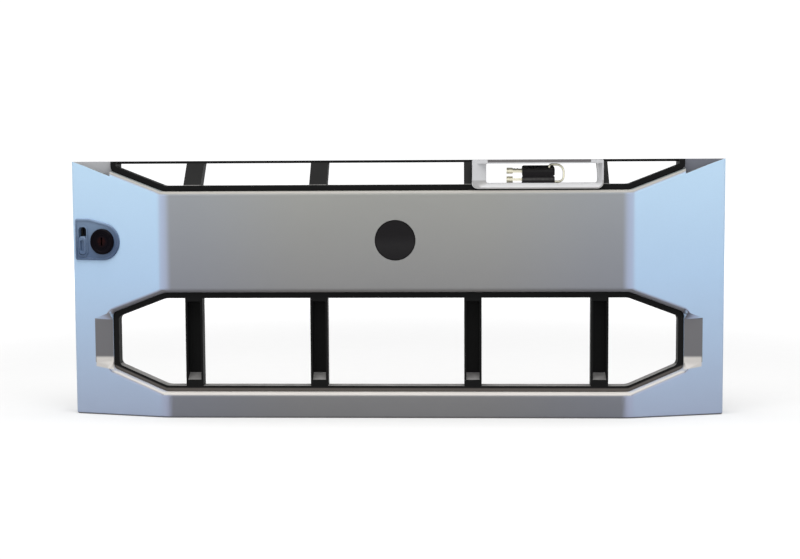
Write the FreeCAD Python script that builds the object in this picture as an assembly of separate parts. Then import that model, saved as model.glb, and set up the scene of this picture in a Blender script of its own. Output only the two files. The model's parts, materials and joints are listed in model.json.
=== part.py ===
import FreeCAD, Part
import math
import os

# Server front bezel for a chassis four units high. Millimetres, +Z up, the front faces -Y, +X is to the
# right seen from the front. Depths (d) are measured back from the flat middle of the front face.

V = FreeCAD.Vector

# Overall size
WIDTH = 446.0
HEIGHT = 174.5
DEPTH = 40.0                    # front face to the tips of the rear hooks
RIM_DEPTH = 34.0                # front face to the rear rim of the fascia
EDGE_X = WIDTH / 2.0
FRONT_Y = -DEPTH / 2.0

# Fascia: flat middle, two wings that slope back, one soft crease between them
SKIN = 2.5
WING_RUN = 66.0                 # the wings reach this far past the crease
CREASE_X = EDGE_X - WING_RUN
WING_SLOPE = 0.27
WING = math.atan(WING_SLOPE)
CREASE_RADIUS = 45.0
SIDE_RADIUS = 2.2
EDGE_RADIUS = 1.5
LIP_RADIUS = 3.5
NOTCH_LIP_RADIUS = 3.0
RETURN_DEPTH = 11.5             # how far the walls round the openings run back

# Main window and the notch along the top
WINDOW_BOTTOM = 17.6
NOTCH_SILL = HEIGHT - 20.4
WINDOW_TOP = (WINDOW_BOTTOM + NOTCH_SILL) / 2 - 0.25
OPENING_END_X = EDGE_X - 27.7
OPENING_FLAT_X = CREASE_X
SLANT = 0.385
NOTCH_SLANT = 0.37
CORNER_RADIUS = 10.0
END_RADIUS = 4.0
POCKET_DEPTH = 13.8             # shallow floor at each end of the window
POCKET_RISE = 1.75              # slope of the pocket's upper and lower walls
POCKET_LOW_Z = WINDOW_BOTTOM + 14.0
POCKET_HIGH_Z = WINDOW_TOP - 13.8
POCKET_END_X = EDGE_X - 15.0
SHOULDER_DEPTH = 18.4           # floor at each end of the notch
SHOULDER_DROP = 3.7             # its edge lies this far below the line of the notch

# Black inner frame
FIT = 0.15                      # clearance between parts that are pushed together
FRAME_SETBACK = 4.0
FLANGE = 3.8                    # visible width of the frame round the openings
REAR_FLANGE = 2.0               # thickness of the flange that rests on the fascia's returns
REAR_REACH = 8.5                # how far that flange runs past the opening
DIVIDER_IN, DIVIDER_OUT = 52.2, CREASE_X - 19.4
DIVIDER_X = (-DIVIDER_OUT, -DIVIDER_IN, DIVIDER_IN, DIVIDER_OUT)
DIVIDER_W = 11.8
CHANNEL_WALL = 1.4
CHANNEL_DEPTH = 7.6
CHANNEL_LOW_Z = WINDOW_BOTTOM + 11.8
CHANNEL_HIGH_Z = WINDOW_TOP - 7.4
RAIL_H = 1.7
RAIL_FRONT = 19.5
RAIL_BACK = 31.0
STRAP_IN, STRAP_OUT = CREASE_X - 62.0, CREASE_X - 14.0
STRAP_X = (-STRAP_OUT, -STRAP_IN, STRAP_IN, STRAP_OUT)
STRAP_W = 13.0

# Screws
SCREW_D = 3.0
PILOT_GAP = 0.1
HOLE_GAP = 0.4
HEAD_D = 5.6
HEAD_H = 2.0
BOSS_D = 7.0
FRAME_SCREW_L = 8.0
FLANGE_SCREW_STOP = 1.5         # the screws behind the wings stop this far short of the face
FLANGE_HEAD_D = 9.0
SPACER_W = 6.5                  # square spacers round the screws behind the wings
SEAT_GAP = 0.1                  # a screwed plate is gripped by this much
RIBS = (35.0, STRAP_IN - 33.0, STRAP_IN + 15.0)
RIB_T = 1.8
RIB_DEPTH = 8.5

# Badge
BADGE_Z = (WINDOW_TOP + NOTCH_SILL) / 2 + 0.95
BADGE_D = 27.2
BADGE_FLOOR = 1.6
BADGE_RISE = 0.6
BADGE_PAD = 4.2
STUD_D = 3.0
STUD_X = 7.0
CLIP_W = 8.4
CLIP_T = 0.5
CLIP_GAP = 0.04

FRAME_SCREWS = [(side * STRAP_IN, z) for z in (BADGE_Z - 16.8, BADGE_Z + 16.2, WINDOW_BOTTOM - 6.4)
                for side in (-1, 1)]

# Display frame and the two keys that lie in it
DISPLAY_RIGHT = CREASE_X - 17.6
DISPLAY_LEFT = DISPLAY_RIGHT - 87.6
DISPLAY_BOTTOM, DISPLAY_TOP = NOTCH_SILL + 0.9, HEIGHT - 0.2
DISPLAY_FRONT, DISPLAY_BACK = 2.0, 19.5
GLASS_LEFT, GLASS_RIGHT = DISPLAY_LEFT + 9.5, DISPLAY_RIGHT - 3.0
TRAY_FLOOR, TRAY_ROOF = DISPLAY_BOTTOM + 3.8, DISPLAY_TOP - 2.5
TAB_X = (DISPLAY_LEFT + 19.2, DISPLAY_RIGHT - 19.4)
TAB_Z = NOTCH_SILL - 6.7
KEY_LEFT = DISPLAY_LEFT + 33.6
KEY_RIGHT = KEY_LEFT + 21.9
KEY_FRONT, KEY_BACK = 5.6, 17.6
KEY_H = 4.6
UPPER_KEY_TILT = 14.0
KEY_HOLE = 3.4
KEY_HOLE_X = KEY_RIGHT - 3.6
RING_WIRE = 1.5
RING_REACH = 6.9                # the ring stands out past the heads by this much

# Lock pod on the left wing; u runs outward along the wing from the crease, n is out of its face
LOCK_U, LOCK_Z = WING_RUN - 20.6, BADGE_Z - 0.9
POD_RADIUS = 12.8
POD_OUTER_U = LOCK_U + 20.9
POD_SHOULDER_U = LOCK_U + 9.9
POD_TOP = LOCK_Z + 15.5
POD_PLATE = 1.2
POD_STEP = 2.0                  # the plate overlaps the fascia by this much all round
POD_DISH = 0.5
SLOT_U0, SLOT_U1 = LOCK_U + 12.0, LOCK_U + 18.0
SLOT_Z0, SLOT_Z1 = LOCK_Z - 9.5, LOCK_Z + 9.9
BARREL_D = 12.0
BARREL_HEAD_D = 17.6
BARREL_FRONT = 2.6
BARREL_BACK = -12.0
PLUG_D = 8.0
PLUG_HEAD_D = 10.0
PLUG_HEAD_T = 1.2
PLUG_SQUARE = 5.0
TURN_FIT = 0.1                  # clearance round the turning plug
NUT_T = 3.0
NUT_AF = 15.0
CAM_T = 2.0
CAM_L = 17.0
CAM_W = 9.0

# Release latch behind the pod
LATCH_LIFT = 6.0
GUIDE_T = 2.2
GUIDE_FRONT = -SKIN
GUIDE_BACK = GUIDE_FRONT - GUIDE_T
SLIDE_GAP = 0.15
SLIDE_T = 1.5
SLIDE_FRONT = GUIDE_BACK - SLIDE_GAP
SLIDE_BACK = SLIDE_FRONT - SLIDE_T
SLIDE_U0, SLIDE_U1 = SLOT_U0 + 0.2, SLOT_U1 - 0.2
SLIDE_Z0, SLIDE_Z1 = 26.0, HEIGHT - 20.5
TAB_Z0, TAB_Z1 = LOCK_Z - 9.2, LOCK_Z + 3.5
STEM_Z = (LOCK_Z - 3.9, LOCK_Z + 0.9)
STEM_D = 3.0
HOOK_Z = ((SLIDE_Z0 + 4.0, SLIDE_Z0 + 13.0), (SLIDE_Z1 - 9.4, SLIDE_Z1 - 0.4))
HOOK_X0, HOOK_X1 = EDGE_X - 10.4, EDGE_X - 8.8
HOOK_NOSE = 4.0
SPRING_WIRE = 0.7
SPRING_MEAN = 4.6
SPRING_TURNS = 4
SPRING_R = SPRING_MEAN / 2 + SPRING_WIRE
SPRING_N = SLIDE_BACK - SPRING_R - 1.65
SPRING_LOW_Z, SPRING_HIGH_Z = LOCK_Z - 6.3, LOCK_Z + 14.7
STRIP_U0, STRIP_U1 = LOCK_U + 3.6, SLIDE_U1
FLANGE_SCREWS_LEFT = ((LOCK_Z - 18.9, LOCK_U - 10.9), (LOCK_Z + 26.1, LOCK_U - 10.9),
                      (LOCK_Z - 21.4, LOCK_U + 6.2))
FLANGE_SCREWS_RIGHT = [(LOCK_Z + step, LOCK_U + 9.1) for step in (-27.9, -2.9, 22.1)]
WIDE_MARGIN = 8.0               # the wide part of the plate runs past its end screws by this much


def y(d):
    return FRONT_Y + d


# General helpers

def box(x0, x1, d0, d1, z0, z1):
    return Part.makeBox(x1 - x0, d1 - d0, z1 - z0, V(x0, y(d0), z0))


def rounded(points, radii):
    """Closed wire through the points, each corner rounded by its own radius."""
    corners = []
    for i, point in enumerate(points):
        p, a, b = V(*point), V(*points[i - 1]), V(*points[(i + 1) % len(points)])
        if radii[i] <= 0:
            corners.append((p, None, p))
            continue
        to_a, to_b = (a - p).normalize(), (b - p).normalize()
        half = to_a.getAngle(to_b) / 2
        reach = radii[i] / math.tan(half)
        centre = p + (to_a + to_b).normalize() * (radii[i] / math.sin(half))
        middle = centre + (p - centre).normalize() * radii[i]
        corners.append((p + to_a * reach, middle, p + to_b * reach))
    edges = []
    for i, (start, middle, end) in enumerate(corners):
        if middle is not None:
            edges.append(Part.Arc(start, middle, end).toShape())
        following = corners[(i + 1) % len(corners)][0]
        if (following - end).Length > 1e-6:
            edges.append(Part.makeLine(end, following))
    return Part.Wire(edges)


def front_prism(points, radii, d0, d1):
    """Prism along Y over an outline of (x, z) points."""
    wire = rounded([(px, y(d0), pz) for px, pz in points], radii)
    return Part.Face(wire).extrude(V(0, d1 - d0, 0))


def side_prism(points, x0, x1):
    """Prism along X over an outline of (d, z) points."""
    wire = Part.makePolygon([V(x0, y(d), z) for d, z in points + points[:1]])
    return Part.Face(wire).extrude(V(x1 - x0, 0, 0))


def cylinder_y(x, z, diameter, d0, d1):
    return Part.makeCylinder(diameter / 2, d1 - d0, V(x, y(d0), z), V(0, 1, 0))


def rod(diameter, length, sides=8):
    """Thin rod or hole along Z, with few sides because such pieces repeat."""
    turns = [2 * math.pi * k / sides for k in range(sides + 1)]
    outline = Part.makePolygon([V(diameter / 2 * math.cos(t), diameter / 2 * math.sin(t), 0) for t in turns])
    return Part.Face(outline).extrude(V(0, 0, length))


def skinned(rings, looped=False, twisted=False):
    """Solid over rings of points. Its faces are flat, or pairs of triangles where the rings twist."""
    faces = []
    if not looped:
        faces = [Part.Face(Part.makePolygon(ring + ring[:1])) for ring in (rings[0], rings[-1])]
    for low, high in zip(rings, rings[1:] + rings[:1] if looped else rings[1:]):
        for i in range(len(low)):
            j = (i + 1) % len(low)
            quad = (low[i], low[j], high[j], high[i])
            for patch in ((quad[:3], (quad[0],) + quad[2:]) if twisted else (quad,)):
                faces.append(Part.Face(Part.makePolygon(list(patch) + [patch[0]])))
    shell = Part.makeShell(faces)
    shell.sewShape()
    solid = Part.makeSolid(shell)
    if solid.Volume < 0:
        solid.reverse()
    return solid


def turned(profile, sides=36):
    """Solid of even facets round local Z through the (radius, height) points."""
    turns = [2 * math.pi * k / sides for k in range(sides)]
    return skinned([[V(radius * math.cos(t), radius * math.sin(t), height) for t in turns]
                    for radius, height in profile])


def rod_y(x, z, diameter, d0, d1, sides=8):
    made = rod(diameter, d1 - d0, sides)
    made.rotate(V(0, 0, 0), V(1, 0, 0), -90)
    made.translate(V(x, y(d0), z))
    return made


def mirrored(shape):
    return shape.mirror(V(0, 0, 0), V(1, 0, 0))


def both_sides(shape):
    return [shape, mirrored(shape)]


def fuse_all(shapes):
    return shapes[0].multiFuse(shapes[1:]).removeSplitter() if len(shapes) > 1 else shapes[0]


def cut_all(shape, tools):
    return shape.cut(Part.makeCompound(tools)) if tools else shape


# Wing frame: local x is world Z, local y is u (outward along the left wing), local z is n (out of its face)

def on_left_wing(shape):
    c, s = math.cos(WING), math.sin(WING)
    matrix = FreeCAD.Matrix(0, -c, -s, -CREASE_X, 0, s, -c, FRONT_Y, 1, 0, 0, 0, 0, 0, 0, 1)
    placed = shape.copy()
    placed.Placement = FreeCAD.Placement(matrix).multiply(shape.Placement)
    return placed


def wing_box(z0, z1, u0, u1, n0, n1):
    return on_left_wing(Part.makeBox(z1 - z0, u1 - u0, n1 - n0, V(z0, u0, n0)))


def wing_rod(z, u, diameter, n0, n1, sides=8):
    made = rod(diameter, n1 - n0, sides)
    made.translate(V(z, u, n0))
    return on_left_wing(made)


# Outlines shared by the fascia and the inner frame

def plan_solid(shift, back, half=EDGE_X, z0=0.0, z1=HEIGHT):
    """Everything from the front surface, moved back by shift, to the depth named by back."""
    drop = (half - CREASE_X) * WING_SLOPE
    points = [(-half, y(back), z0), (-half, y(drop + shift), z0), (-CREASE_X, y(shift), z0),
              (CREASE_X, y(shift), z0), (half, y(drop + shift), z0), (half, y(back), z0)]
    wire = rounded(points, [0, 0, CREASE_RADIUS, CREASE_RADIUS, 0, 0])
    return Part.Face(wire).extrude(V(0, 0, z1 - z0))


def layer(near, far):
    """Layer that follows the front surface between two depths behind it."""
    return plan_solid(near, 90, EDGE_X + 77, -20, HEIGHT + 45.5).cut(
        plan_solid(far, 95, EDGE_X + 82, -25, HEIGHT + 50.5))


def window_outline(grow):
    """Elongated octagon of the main window, grown outward all round."""
    diagonal = math.sqrt(1 + SLANT * SLANT)
    cx = OPENING_FLAT_X + grow * (diagonal - 1) / SLANT
    ex = OPENING_END_X + grow
    lift = (OPENING_END_X - OPENING_FLAT_X) * SLANT - grow * (diagonal - SLANT)
    low, high = WINDOW_BOTTOM, WINDOW_TOP
    return [(-cx, low - grow), (cx, low - grow), (ex, low + lift), (ex, high - lift),
            (cx, high + grow), (-cx, high + grow), (-ex, high - lift), (-ex, low + lift)]


WINDOW_RADII = [CORNER_RADIUS, CORNER_RADIUS, END_RADIUS, END_RADIUS,
                CORNER_RADIUS, CORNER_RADIUS, END_RADIUS, END_RADIUS]


def notch_outline(grow, top, ended=True):
    """Notch along the top edge, grown outward below and at the sides, closed at the height named top."""
    diagonal = math.sqrt(1 + NOTCH_SLANT * NOTCH_SLANT)
    cx = OPENING_FLAT_X + grow * (diagonal - 1) / NOTCH_SLANT
    sill = NOTCH_SILL - grow
    if not ended:
        ex = cx + (top - sill) / NOTCH_SLANT
        return [(-cx, sill), (cx, sill), (ex, top), (-ex, top)]
    ex = OPENING_END_X + grow
    return [(-cx, sill), (cx, sill), (ex, sill + (ex - cx) * NOTCH_SLANT), (ex, top), (-ex, top),
            (-ex, sill + (ex - cx) * NOTCH_SLANT)]


def surface_depth(x):
    ax, reach = abs(x), CREASE_RADIUS * math.tan(WING / 2)
    if ax <= CREASE_X - reach:
        return 0.0
    if ax >= CREASE_X + reach:
        return (ax - CREASE_X) * WING_SLOPE
    run = ax - (CREASE_X - reach)
    return CREASE_RADIUS - math.sqrt(CREASE_RADIUS ** 2 - run ** 2)


def mouth_edges(shape, z0, z1, limit_x):
    """Edges of an opening that lie on the front surface."""
    found = []
    for edge in shape.Edges:
        points = edge.discretize(5)
        inside = all(z0 - 0.4 < p.z < z1 + 0.4 and abs(p.x) < limit_x for p in points)
        inside = inside and edge.BoundBox.ZMin < HEIGHT - 0.01
        if inside and all(abs(p.y - y(surface_depth(p.x))) < 0.05 for p in points):
            found.append(edge)
    return found


# Screws

def screw(length, head_d=HEAD_D, head_h=HEAD_H):
    """Pan head screw along Z: the head stands on z = 0 and the shank runs down."""
    shank = rod(SCREW_D, length)
    shank.translate(V(0, 0, -length))
    return fuse_all([shank, rod(head_d, head_h, 12)])


def screw_forward(x, z, seat, length):
    """Screw driven from behind toward the front, its head on the depth named seat."""
    made = screw(length)
    made.rotate(V(0, 0, 0), V(1, 0, 0), -90)
    made.translate(V(x, y(seat), z))
    return made


def flange_screw_on_wing(z, u, seat_n, length):
    made = screw(length, FLANGE_HEAD_D)
    made.rotate(V(0, 0, 0), V(1, 0, 0), 180)
    made.translate(V(z, u, seat_n))
    return on_left_wing(made)


# Fascia

def pocket_tool(low, high, x0, x1, grow):
    """Shallow pocket at the end of the window: a floor with sloped upper and lower walls."""
    ends = []
    for x in (x0, x1):
        reach = max(POCKET_DEPTH - (x - CREASE_X) * WING_SLOPE, 0.0)
        turn = (x - OPENING_END_X) * SLANT
        a, b = low + turn - grow, high - turn + grow
        rise = POCKET_RISE * reach
        d_wing = POCKET_DEPTH - reach
        ends.append(Part.makePolygon([V(x, y(-5), a), V(x, y(d_wing + grow), a),
                                      V(x, y(POCKET_DEPTH + grow), a + rise),
                                      V(x, y(POCKET_DEPTH + grow), b - rise),
                                      V(x, y(d_wing + grow), b), V(x, y(-5), b), V(x, y(-5), a)]))
    return Part.makeLoft(ends, True, True)


def shoulder_outline(grow):
    """Floor at the end of the notch, seen from the front, bounded by the line of the slant."""
    x0, x1, top = OPENING_END_X - 0.2, EDGE_X + 5, HEIGHT + 5
    base = NOTCH_SILL - SHOULDER_DROP - grow * 1.07
    z0, z1 = base + (x0 - OPENING_FLAT_X) * NOTCH_SLANT, base + (x1 - OPENING_FLAT_X) * NOTCH_SLANT
    return [(x0 - grow, z0), (x0 - grow, top), (x1, top), (x1, z1)]


def fascia():
    body = plan_solid(0, RIM_DEPTH)
    corners = [e for e in body.Edges
               if e.BoundBox.ZLength > HEIGHT - 1 and abs(abs(e.CenterOfMass.x) - EDGE_X) < 0.1
               and e.CenterOfMass.y < y(RIM_DEPTH - 5)]
    body = body.makeFillet(SIDE_RADIUS, corners)
    low_rim = [e for e in body.Edges if e.BoundBox.ZMax < 1e-6 and e.CenterOfMass.y < y(RIM_DEPTH - 1)]
    body = body.makeFillet(EDGE_RADIUS, low_rim)
    cavity = plan_solid(SKIN, RIM_DEPTH + 5, EDGE_X - SKIN, SKIN, HEIGHT - SKIN)
    shell = body.cut(cavity)
    top = HEIGHT + 10

    added = []
    returns = front_prism(window_outline(SKIN), WINDOW_RADII, -5, 60).common(layer(-1, RETURN_DEPTH))
    added.append(returns.common(body))
    returns = front_prism(notch_outline(SKIN, top, False), [CORNER_RADIUS, CORNER_RADIUS, 0, 0], -5, 60)
    added.append(returns.common(layer(-1, RETURN_DEPTH)).common(body))
    grown = pocket_tool(POCKET_LOW_Z, POCKET_HIGH_Z, OPENING_END_X - 3, POCKET_END_X + 3, SKIN)
    for piece in both_sides(grown):
        added.append(piece.common(body))
    floor = front_prism(shoulder_outline(SKIN), [0, 0, 0, 0], -5, SHOULDER_DEPTH + SKIN)
    for piece in both_sides(floor):
        added.append(piece.common(body))
    half = BOSS_D / 2
    for x, z in FRAME_SCREWS:
        added.append(box(x - half, x + half, SKIN / 2, RETURN_DEPTH, z - half, z + half))
    pad = BADGE_D / 2 + 4
    added.append(box(-pad, pad, SKIN / 2, BADGE_PAD, BADGE_Z - pad, BADGE_Z + pad))
    for x in RIBS:
        for low, high in ((WINDOW_TOP + SKIN / 2, NOTCH_SILL - SKIN / 2),
                          (SKIN / 2, WINDOW_BOTTOM - SKIN / 2)):
            added += both_sides(box(x - RIB_T / 2, x + RIB_T / 2, SKIN / 2, RIB_DEPTH, low, high))
    half = SPACER_W / 2
    for z, u in FLANGE_SCREWS_LEFT:
        added.append(wing_box(z - half, z + half, u - half, u + half, GUIDE_BACK + SEAT_GAP, -SKIN / 2))
    for z, u in FLANGE_SCREWS_RIGHT:
        added.append(mirrored(wing_box(z - half, z + half, u - half, u + half,
                                       -SKIN - SLIDE_T + SEAT_GAP, -SKIN / 2)))
    shell = fuse_all([shell] + [a.common(body) for a in added])

    shell = shell.cut(front_prism(window_outline(0), WINDOW_RADII, -5, 60))
    notch = front_prism(notch_outline(0, top, False), [CORNER_RADIUS, CORNER_RADIUS, 0, 0], -5, 60)
    ends = box(OPENING_END_X, EDGE_X + 5, SHOULDER_DEPTH, 60, 0, top + 5)
    low_part = notch.cut(Part.makeCompound(both_sides(ends)))
    shell = shell.cut(low_part)
    shell = shell.makeFillet(LIP_RADIUS, mouth_edges(shell, WINDOW_BOTTOM, WINDOW_TOP, OPENING_END_X + 0.5))
    shell = shell.makeFillet(NOTCH_LIP_RADIUS, mouth_edges(shell, NOTCH_SILL, top, EDGE_X))

    cuts = both_sides(pocket_tool(POCKET_LOW_Z, POCKET_HIGH_Z, OPENING_END_X - 1, POCKET_END_X, 0.0))
    cuts += both_sides(front_prism(shoulder_outline(0), [0, 0, 0, 0], -5, SHOULDER_DEPTH))
    cuts.append(cylinder_y(0, BADGE_Z, BADGE_D + 2 * FIT, -5, BADGE_FLOOR))
    for side in (-1, 1):
        cuts.append(rod_y(side * STUD_X, BADGE_Z, STUD_D + 2 * FIT, -1, 20))
    pilot = SCREW_D + PILOT_GAP
    for x, z in FRAME_SCREWS:
        cuts.append(rod_y(x, z, pilot, RETURN_DEPTH + REAR_FLANGE - FRAME_SCREW_L - 0.6, 30))
    for z, u in FLANGE_SCREWS_LEFT:
        cuts.append(wing_rod(z, u, pilot, GUIDE_BACK, -SKIN / 2))
    for z, u in FLANGE_SCREWS_RIGHT:
        cuts.append(mirrored(wing_rod(z, u, pilot, -SKIN - SLIDE_T, -SKIN / 2)))
    cuts.append(pod_prism(-POD_STEP + FIT, -8, 5))
    return cut_all(shell, cuts)


# Black inner frame

def frame_ring():
    top = HEIGHT
    outer = front_prism(window_outline(-FIT), WINDOW_RADII, -5, 60)
    inner = front_prism(window_outline(-FIT - FLANGE), WINDOW_RADII, -6, 61)
    near, far = FRAME_SETBACK, RETURN_DEPTH + REAR_FLANGE
    body = outer.common(layer(near, far))
    flange = front_prism(window_outline(REAR_REACH), WINDOW_RADII, -5, 60).common(layer(RETURN_DEPTH, far))
    notch_radii = [CORNER_RADIUS, CORNER_RADIUS, END_RADIUS, 0, 0, END_RADIUS]
    upper = front_prism(notch_outline(-FIT, top), notch_radii, -5, 60)
    upper_body = upper.common(layer(near, far))
    upper_flange = front_prism(notch_outline(REAR_REACH, HEIGHT - 8.5), [0] * 6, -5, 60)
    upper_flange = upper_flange.common(layer(RETURN_DEPTH, far))
    end_x = OPENING_END_X - FIT
    rail = box(-end_x, end_x, RAIL_FRONT, RAIL_BACK, HEIGHT - RAIL_H, HEIGHT)
    posts = box(end_x - FLANGE, end_x, 15.0, RAIL_BACK, HEIGHT - 5.5, HEIGHT)
    solids = [body, flange, upper_body, upper_flange, rail] + both_sides(posts)
    for x in STRAP_X:
        low, high = WINDOW_TOP + 4, NOTCH_SILL - 4
        solids.append(box(x - STRAP_W / 2, x + STRAP_W / 2, RETURN_DEPTH, far, low, high))
        for side in (-1, 1):
            edge = x + side * (STRAP_W / 2 - 1.2)
            solids.append(box(edge - 0.8, edge + 0.8, RETURN_DEPTH + 0.5, far + 2.5, low + 1, high - 1))
    for x, z in FRAME_SCREWS:
        if z < WINDOW_BOTTOM:
            solids.append(box(x - 7, x + 7, RETURN_DEPTH, far, z - 6.0, z + 3.0))
    for x in TAB_X:
        solids.append(box(x - 7, x + 7, RETURN_DEPTH, far, TAB_Z - 4.5, TAB_Z + 2))
        solids.append(rod_y(x, TAB_Z, BOSS_D, RETURN_DEPTH - 5.5, RETURN_DEPTH + 1))
    frame = fuse_all(solids)
    inner_radii = [CORNER_RADIUS, CORNER_RADIUS, 0.5, 0, 0, 0.5]
    upper_inner = front_prism(notch_outline(-FIT - FLANGE, HEIGHT - RAIL_H), inner_radii, -6, 61)
    open_front = front_prism(notch_outline(-FIT - FLANGE, HEIGHT + 5), inner_radii, -6, RAIL_FRONT)
    return frame.cut(inner).cut(upper_inner).cut(open_front)


def lower_divider(x):
    """U-section upright with its open side to the front and a sloped foot inside it."""
    near, far = FRAME_SETBACK, RETURN_DEPTH + REAR_FLANGE
    low, high = WINDOW_BOTTOM + FLANGE - 1, WINDOW_TOP - FLANGE + 1
    bar = box(x - DIVIDER_W / 2, x + DIVIDER_W / 2, near, far, low, high)
    half = DIVIDER_W / 2 - CHANNEL_WALL
    deep = near + CHANNEL_DEPTH
    channel = side_prism([(near - 1, CHANNEL_LOW_Z - 3.6), (near, CHANNEL_LOW_Z - 3.6),
                          (deep, CHANNEL_LOW_Z + 0.4), (deep, CHANNEL_HIGH_Z),
                          (near + 3, CHANNEL_HIGH_Z + 1.2),
                          (near - 1, CHANNEL_HIGH_Z + 1.2)], x - half, x + half)
    bar = bar.cut(channel)
    edges = [e for e in bar.Edges if e.BoundBox.ZLength > (high - low) * 0.9 and e.BoundBox.YLength < 1e-6
             and abs(e.CenterOfMass.y - y(near)) < 1e-3
             and abs(abs(e.CenterOfMass.x - x) - DIVIDER_W / 2) < 1e-3]
    return bar.makeFillet(0.6, edges)


def upper_divider(x):
    """Upright of the notch: it leans back from the sill to the top rail."""
    foot = NOTCH_SILL + FLANGE - 0.6
    near = FRAME_SETBACK + 0.4
    under = HEIGHT - RAIL_H
    lean = [(near, foot - 2.5), (near, foot + 0.4), (RAIL_FRONT + 0.3, under + 0.6),
            (RAIL_FRONT + 0.3, HEIGHT),
            (RAIL_BACK - 0.2, HEIGHT), (RAIL_BACK - 0.2, under), (RETURN_DEPTH + REAR_FLANGE, foot - 2.5)]
    return side_prism(lean, x - DIVIDER_W / 2, x + DIVIDER_W / 2)


def inner_frame():
    frame = frame_ring()
    frame = fuse_all([frame] + [lower_divider(x) for x in DIVIDER_X] + [upper_divider(x) for x in DIVIDER_X])
    cuts = [display_outer(FIT, DISPLAY_FRONT - 6, RAIL_FRONT)]
    # the outer upright stays clear of the display's window
    cuts.append(box(GLASS_RIGHT - 8, GLASS_RIGHT + 0.4, RAIL_FRONT - 1, RAIL_BACK + 1,
                    TRAY_FLOOR - 1.4, HEIGHT - RAIL_H))
    for x, z in FRAME_SCREWS:
        cuts.append(rod_y(x, z, SCREW_D + HOLE_GAP, RETURN_DEPTH - 1, 40))
    for x in TAB_X:
        cuts.append(rod_y(x, TAB_Z, SCREW_D + PILOT_GAP, RETURN_DEPTH - 4.6, 40))
    return cut_all(frame, cuts)


def frame_screws():
    seat = RETURN_DEPTH + REAR_FLANGE
    return Part.makeCompound([screw_forward(x, z, seat, FRAME_SCREW_L) for x, z in FRAME_SCREWS])


# Badge

def badge():
    """Slightly domed disc with two studs behind it."""
    rim = 0.12 + BADGE_RISE
    dome = [(BADGE_D / 2 * part, rim - BADGE_RISE * (1 - part ** 2)) for part in (0.3, 0.65, 1.0)]
    disc = turned(dome + [(BADGE_D / 2, BADGE_FLOOR)])
    disc.rotate(V(0, 0, 0), V(1, 0, 0), -90)
    disc.translate(V(0, FRONT_Y, BADGE_Z))
    studs = [rod_y(side * STUD_X, BADGE_Z, STUD_D, BADGE_FLOOR - 0.2, 8.0) for side in (-1, 1)]
    return fuse_all([disc] + studs)


def badge_clips():
    """Thin push nuts on the studs, each with a raised hub."""
    made = []
    for side in (-1, 1):
        x, half = side * STUD_X, CLIP_W / 2
        plate = box(x - half, x + half, BADGE_PAD, BADGE_PAD + CLIP_T, BADGE_Z - half, BADGE_Z + half)
        hub = rod_y(x, BADGE_Z, STUD_D + 2, BADGE_PAD + CLIP_T, BADGE_PAD + CLIP_T + 1)
        made.append(plate.fuse(hub).cut(rod_y(x, BADGE_Z, STUD_D + CLIP_GAP, 0, 20)))
    return Part.makeCompound(made)


# Display frame, its screws, and the keys

def display_outer(grow, d0, d1):
    points = [(DISPLAY_LEFT - grow, DISPLAY_BOTTOM - grow), (DISPLAY_RIGHT + grow, DISPLAY_BOTTOM - grow),
              (DISPLAY_RIGHT + grow, DISPLAY_TOP + grow), (DISPLAY_LEFT - grow, DISPLAY_TOP + grow)]
    return front_prism(points, [4.2, 4.2, 0.8, 0.8], d0, d1)


def display_frame():
    block = display_outer(0, DISPLAY_FRONT, DISPLAY_BACK)
    front = [(DISPLAY_LEFT + 3.0, DISPLAY_BOTTOM + 1.0), (DISPLAY_RIGHT - 0.9, DISPLAY_BOTTOM + 1.0),
             (DISPLAY_RIGHT - 0.9, TRAY_ROOF), (DISPLAY_LEFT + 3.0, TRAY_ROOF)]
    back = [(GLASS_LEFT, TRAY_FLOOR), (GLASS_RIGHT, TRAY_FLOOR), (GLASS_RIGHT, TRAY_ROOF),
            (GLASS_LEFT, TRAY_ROOF)]
    sections = [(front, 3.2, DISPLAY_FRONT - 0.001), (back, 1.4, 5.2)]
    wires = [rounded([(px, y(d), pz) for px, pz in pts], [r, r, 0.5, 0.5]) for pts, r, d in sections]
    funnel = Part.makeLoft(wires, True, True)
    straight = front_prism(back, [1.4, 1.4, 0.5, 0.5], 5.19, DISPLAY_BACK + 1)
    frame = block.cut(Part.makeCompound([funnel, straight]))
    seat = RETURN_DEPTH + REAR_FLANGE
    tabs = []
    for x in TAB_X:
        tabs.append(box(x - 6, x + 6, seat, seat + 2.2, TAB_Z - 3.6, TRAY_FLOOR - 0.5))
    frame = fuse_all([frame] + tabs)
    # coring from behind keeps the walls even
    cores = [box(DISPLAY_LEFT + 1.6, GLASS_LEFT - 1.8, 8.0, DISPLAY_BACK + 1, TRAY_FLOOR, TRAY_ROOF - 1)]
    return cut_all(frame, cores + [rod_y(x, TAB_Z, SCREW_D + HOLE_GAP, seat - 1, 40) for x in TAB_X])


def display_frame_screws():
    seat = RETURN_DEPTH + REAR_FLANGE + 2.2
    return Part.makeCompound([screw_forward(x, TAB_Z, seat, 7.6) for x in TAB_X])


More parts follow.
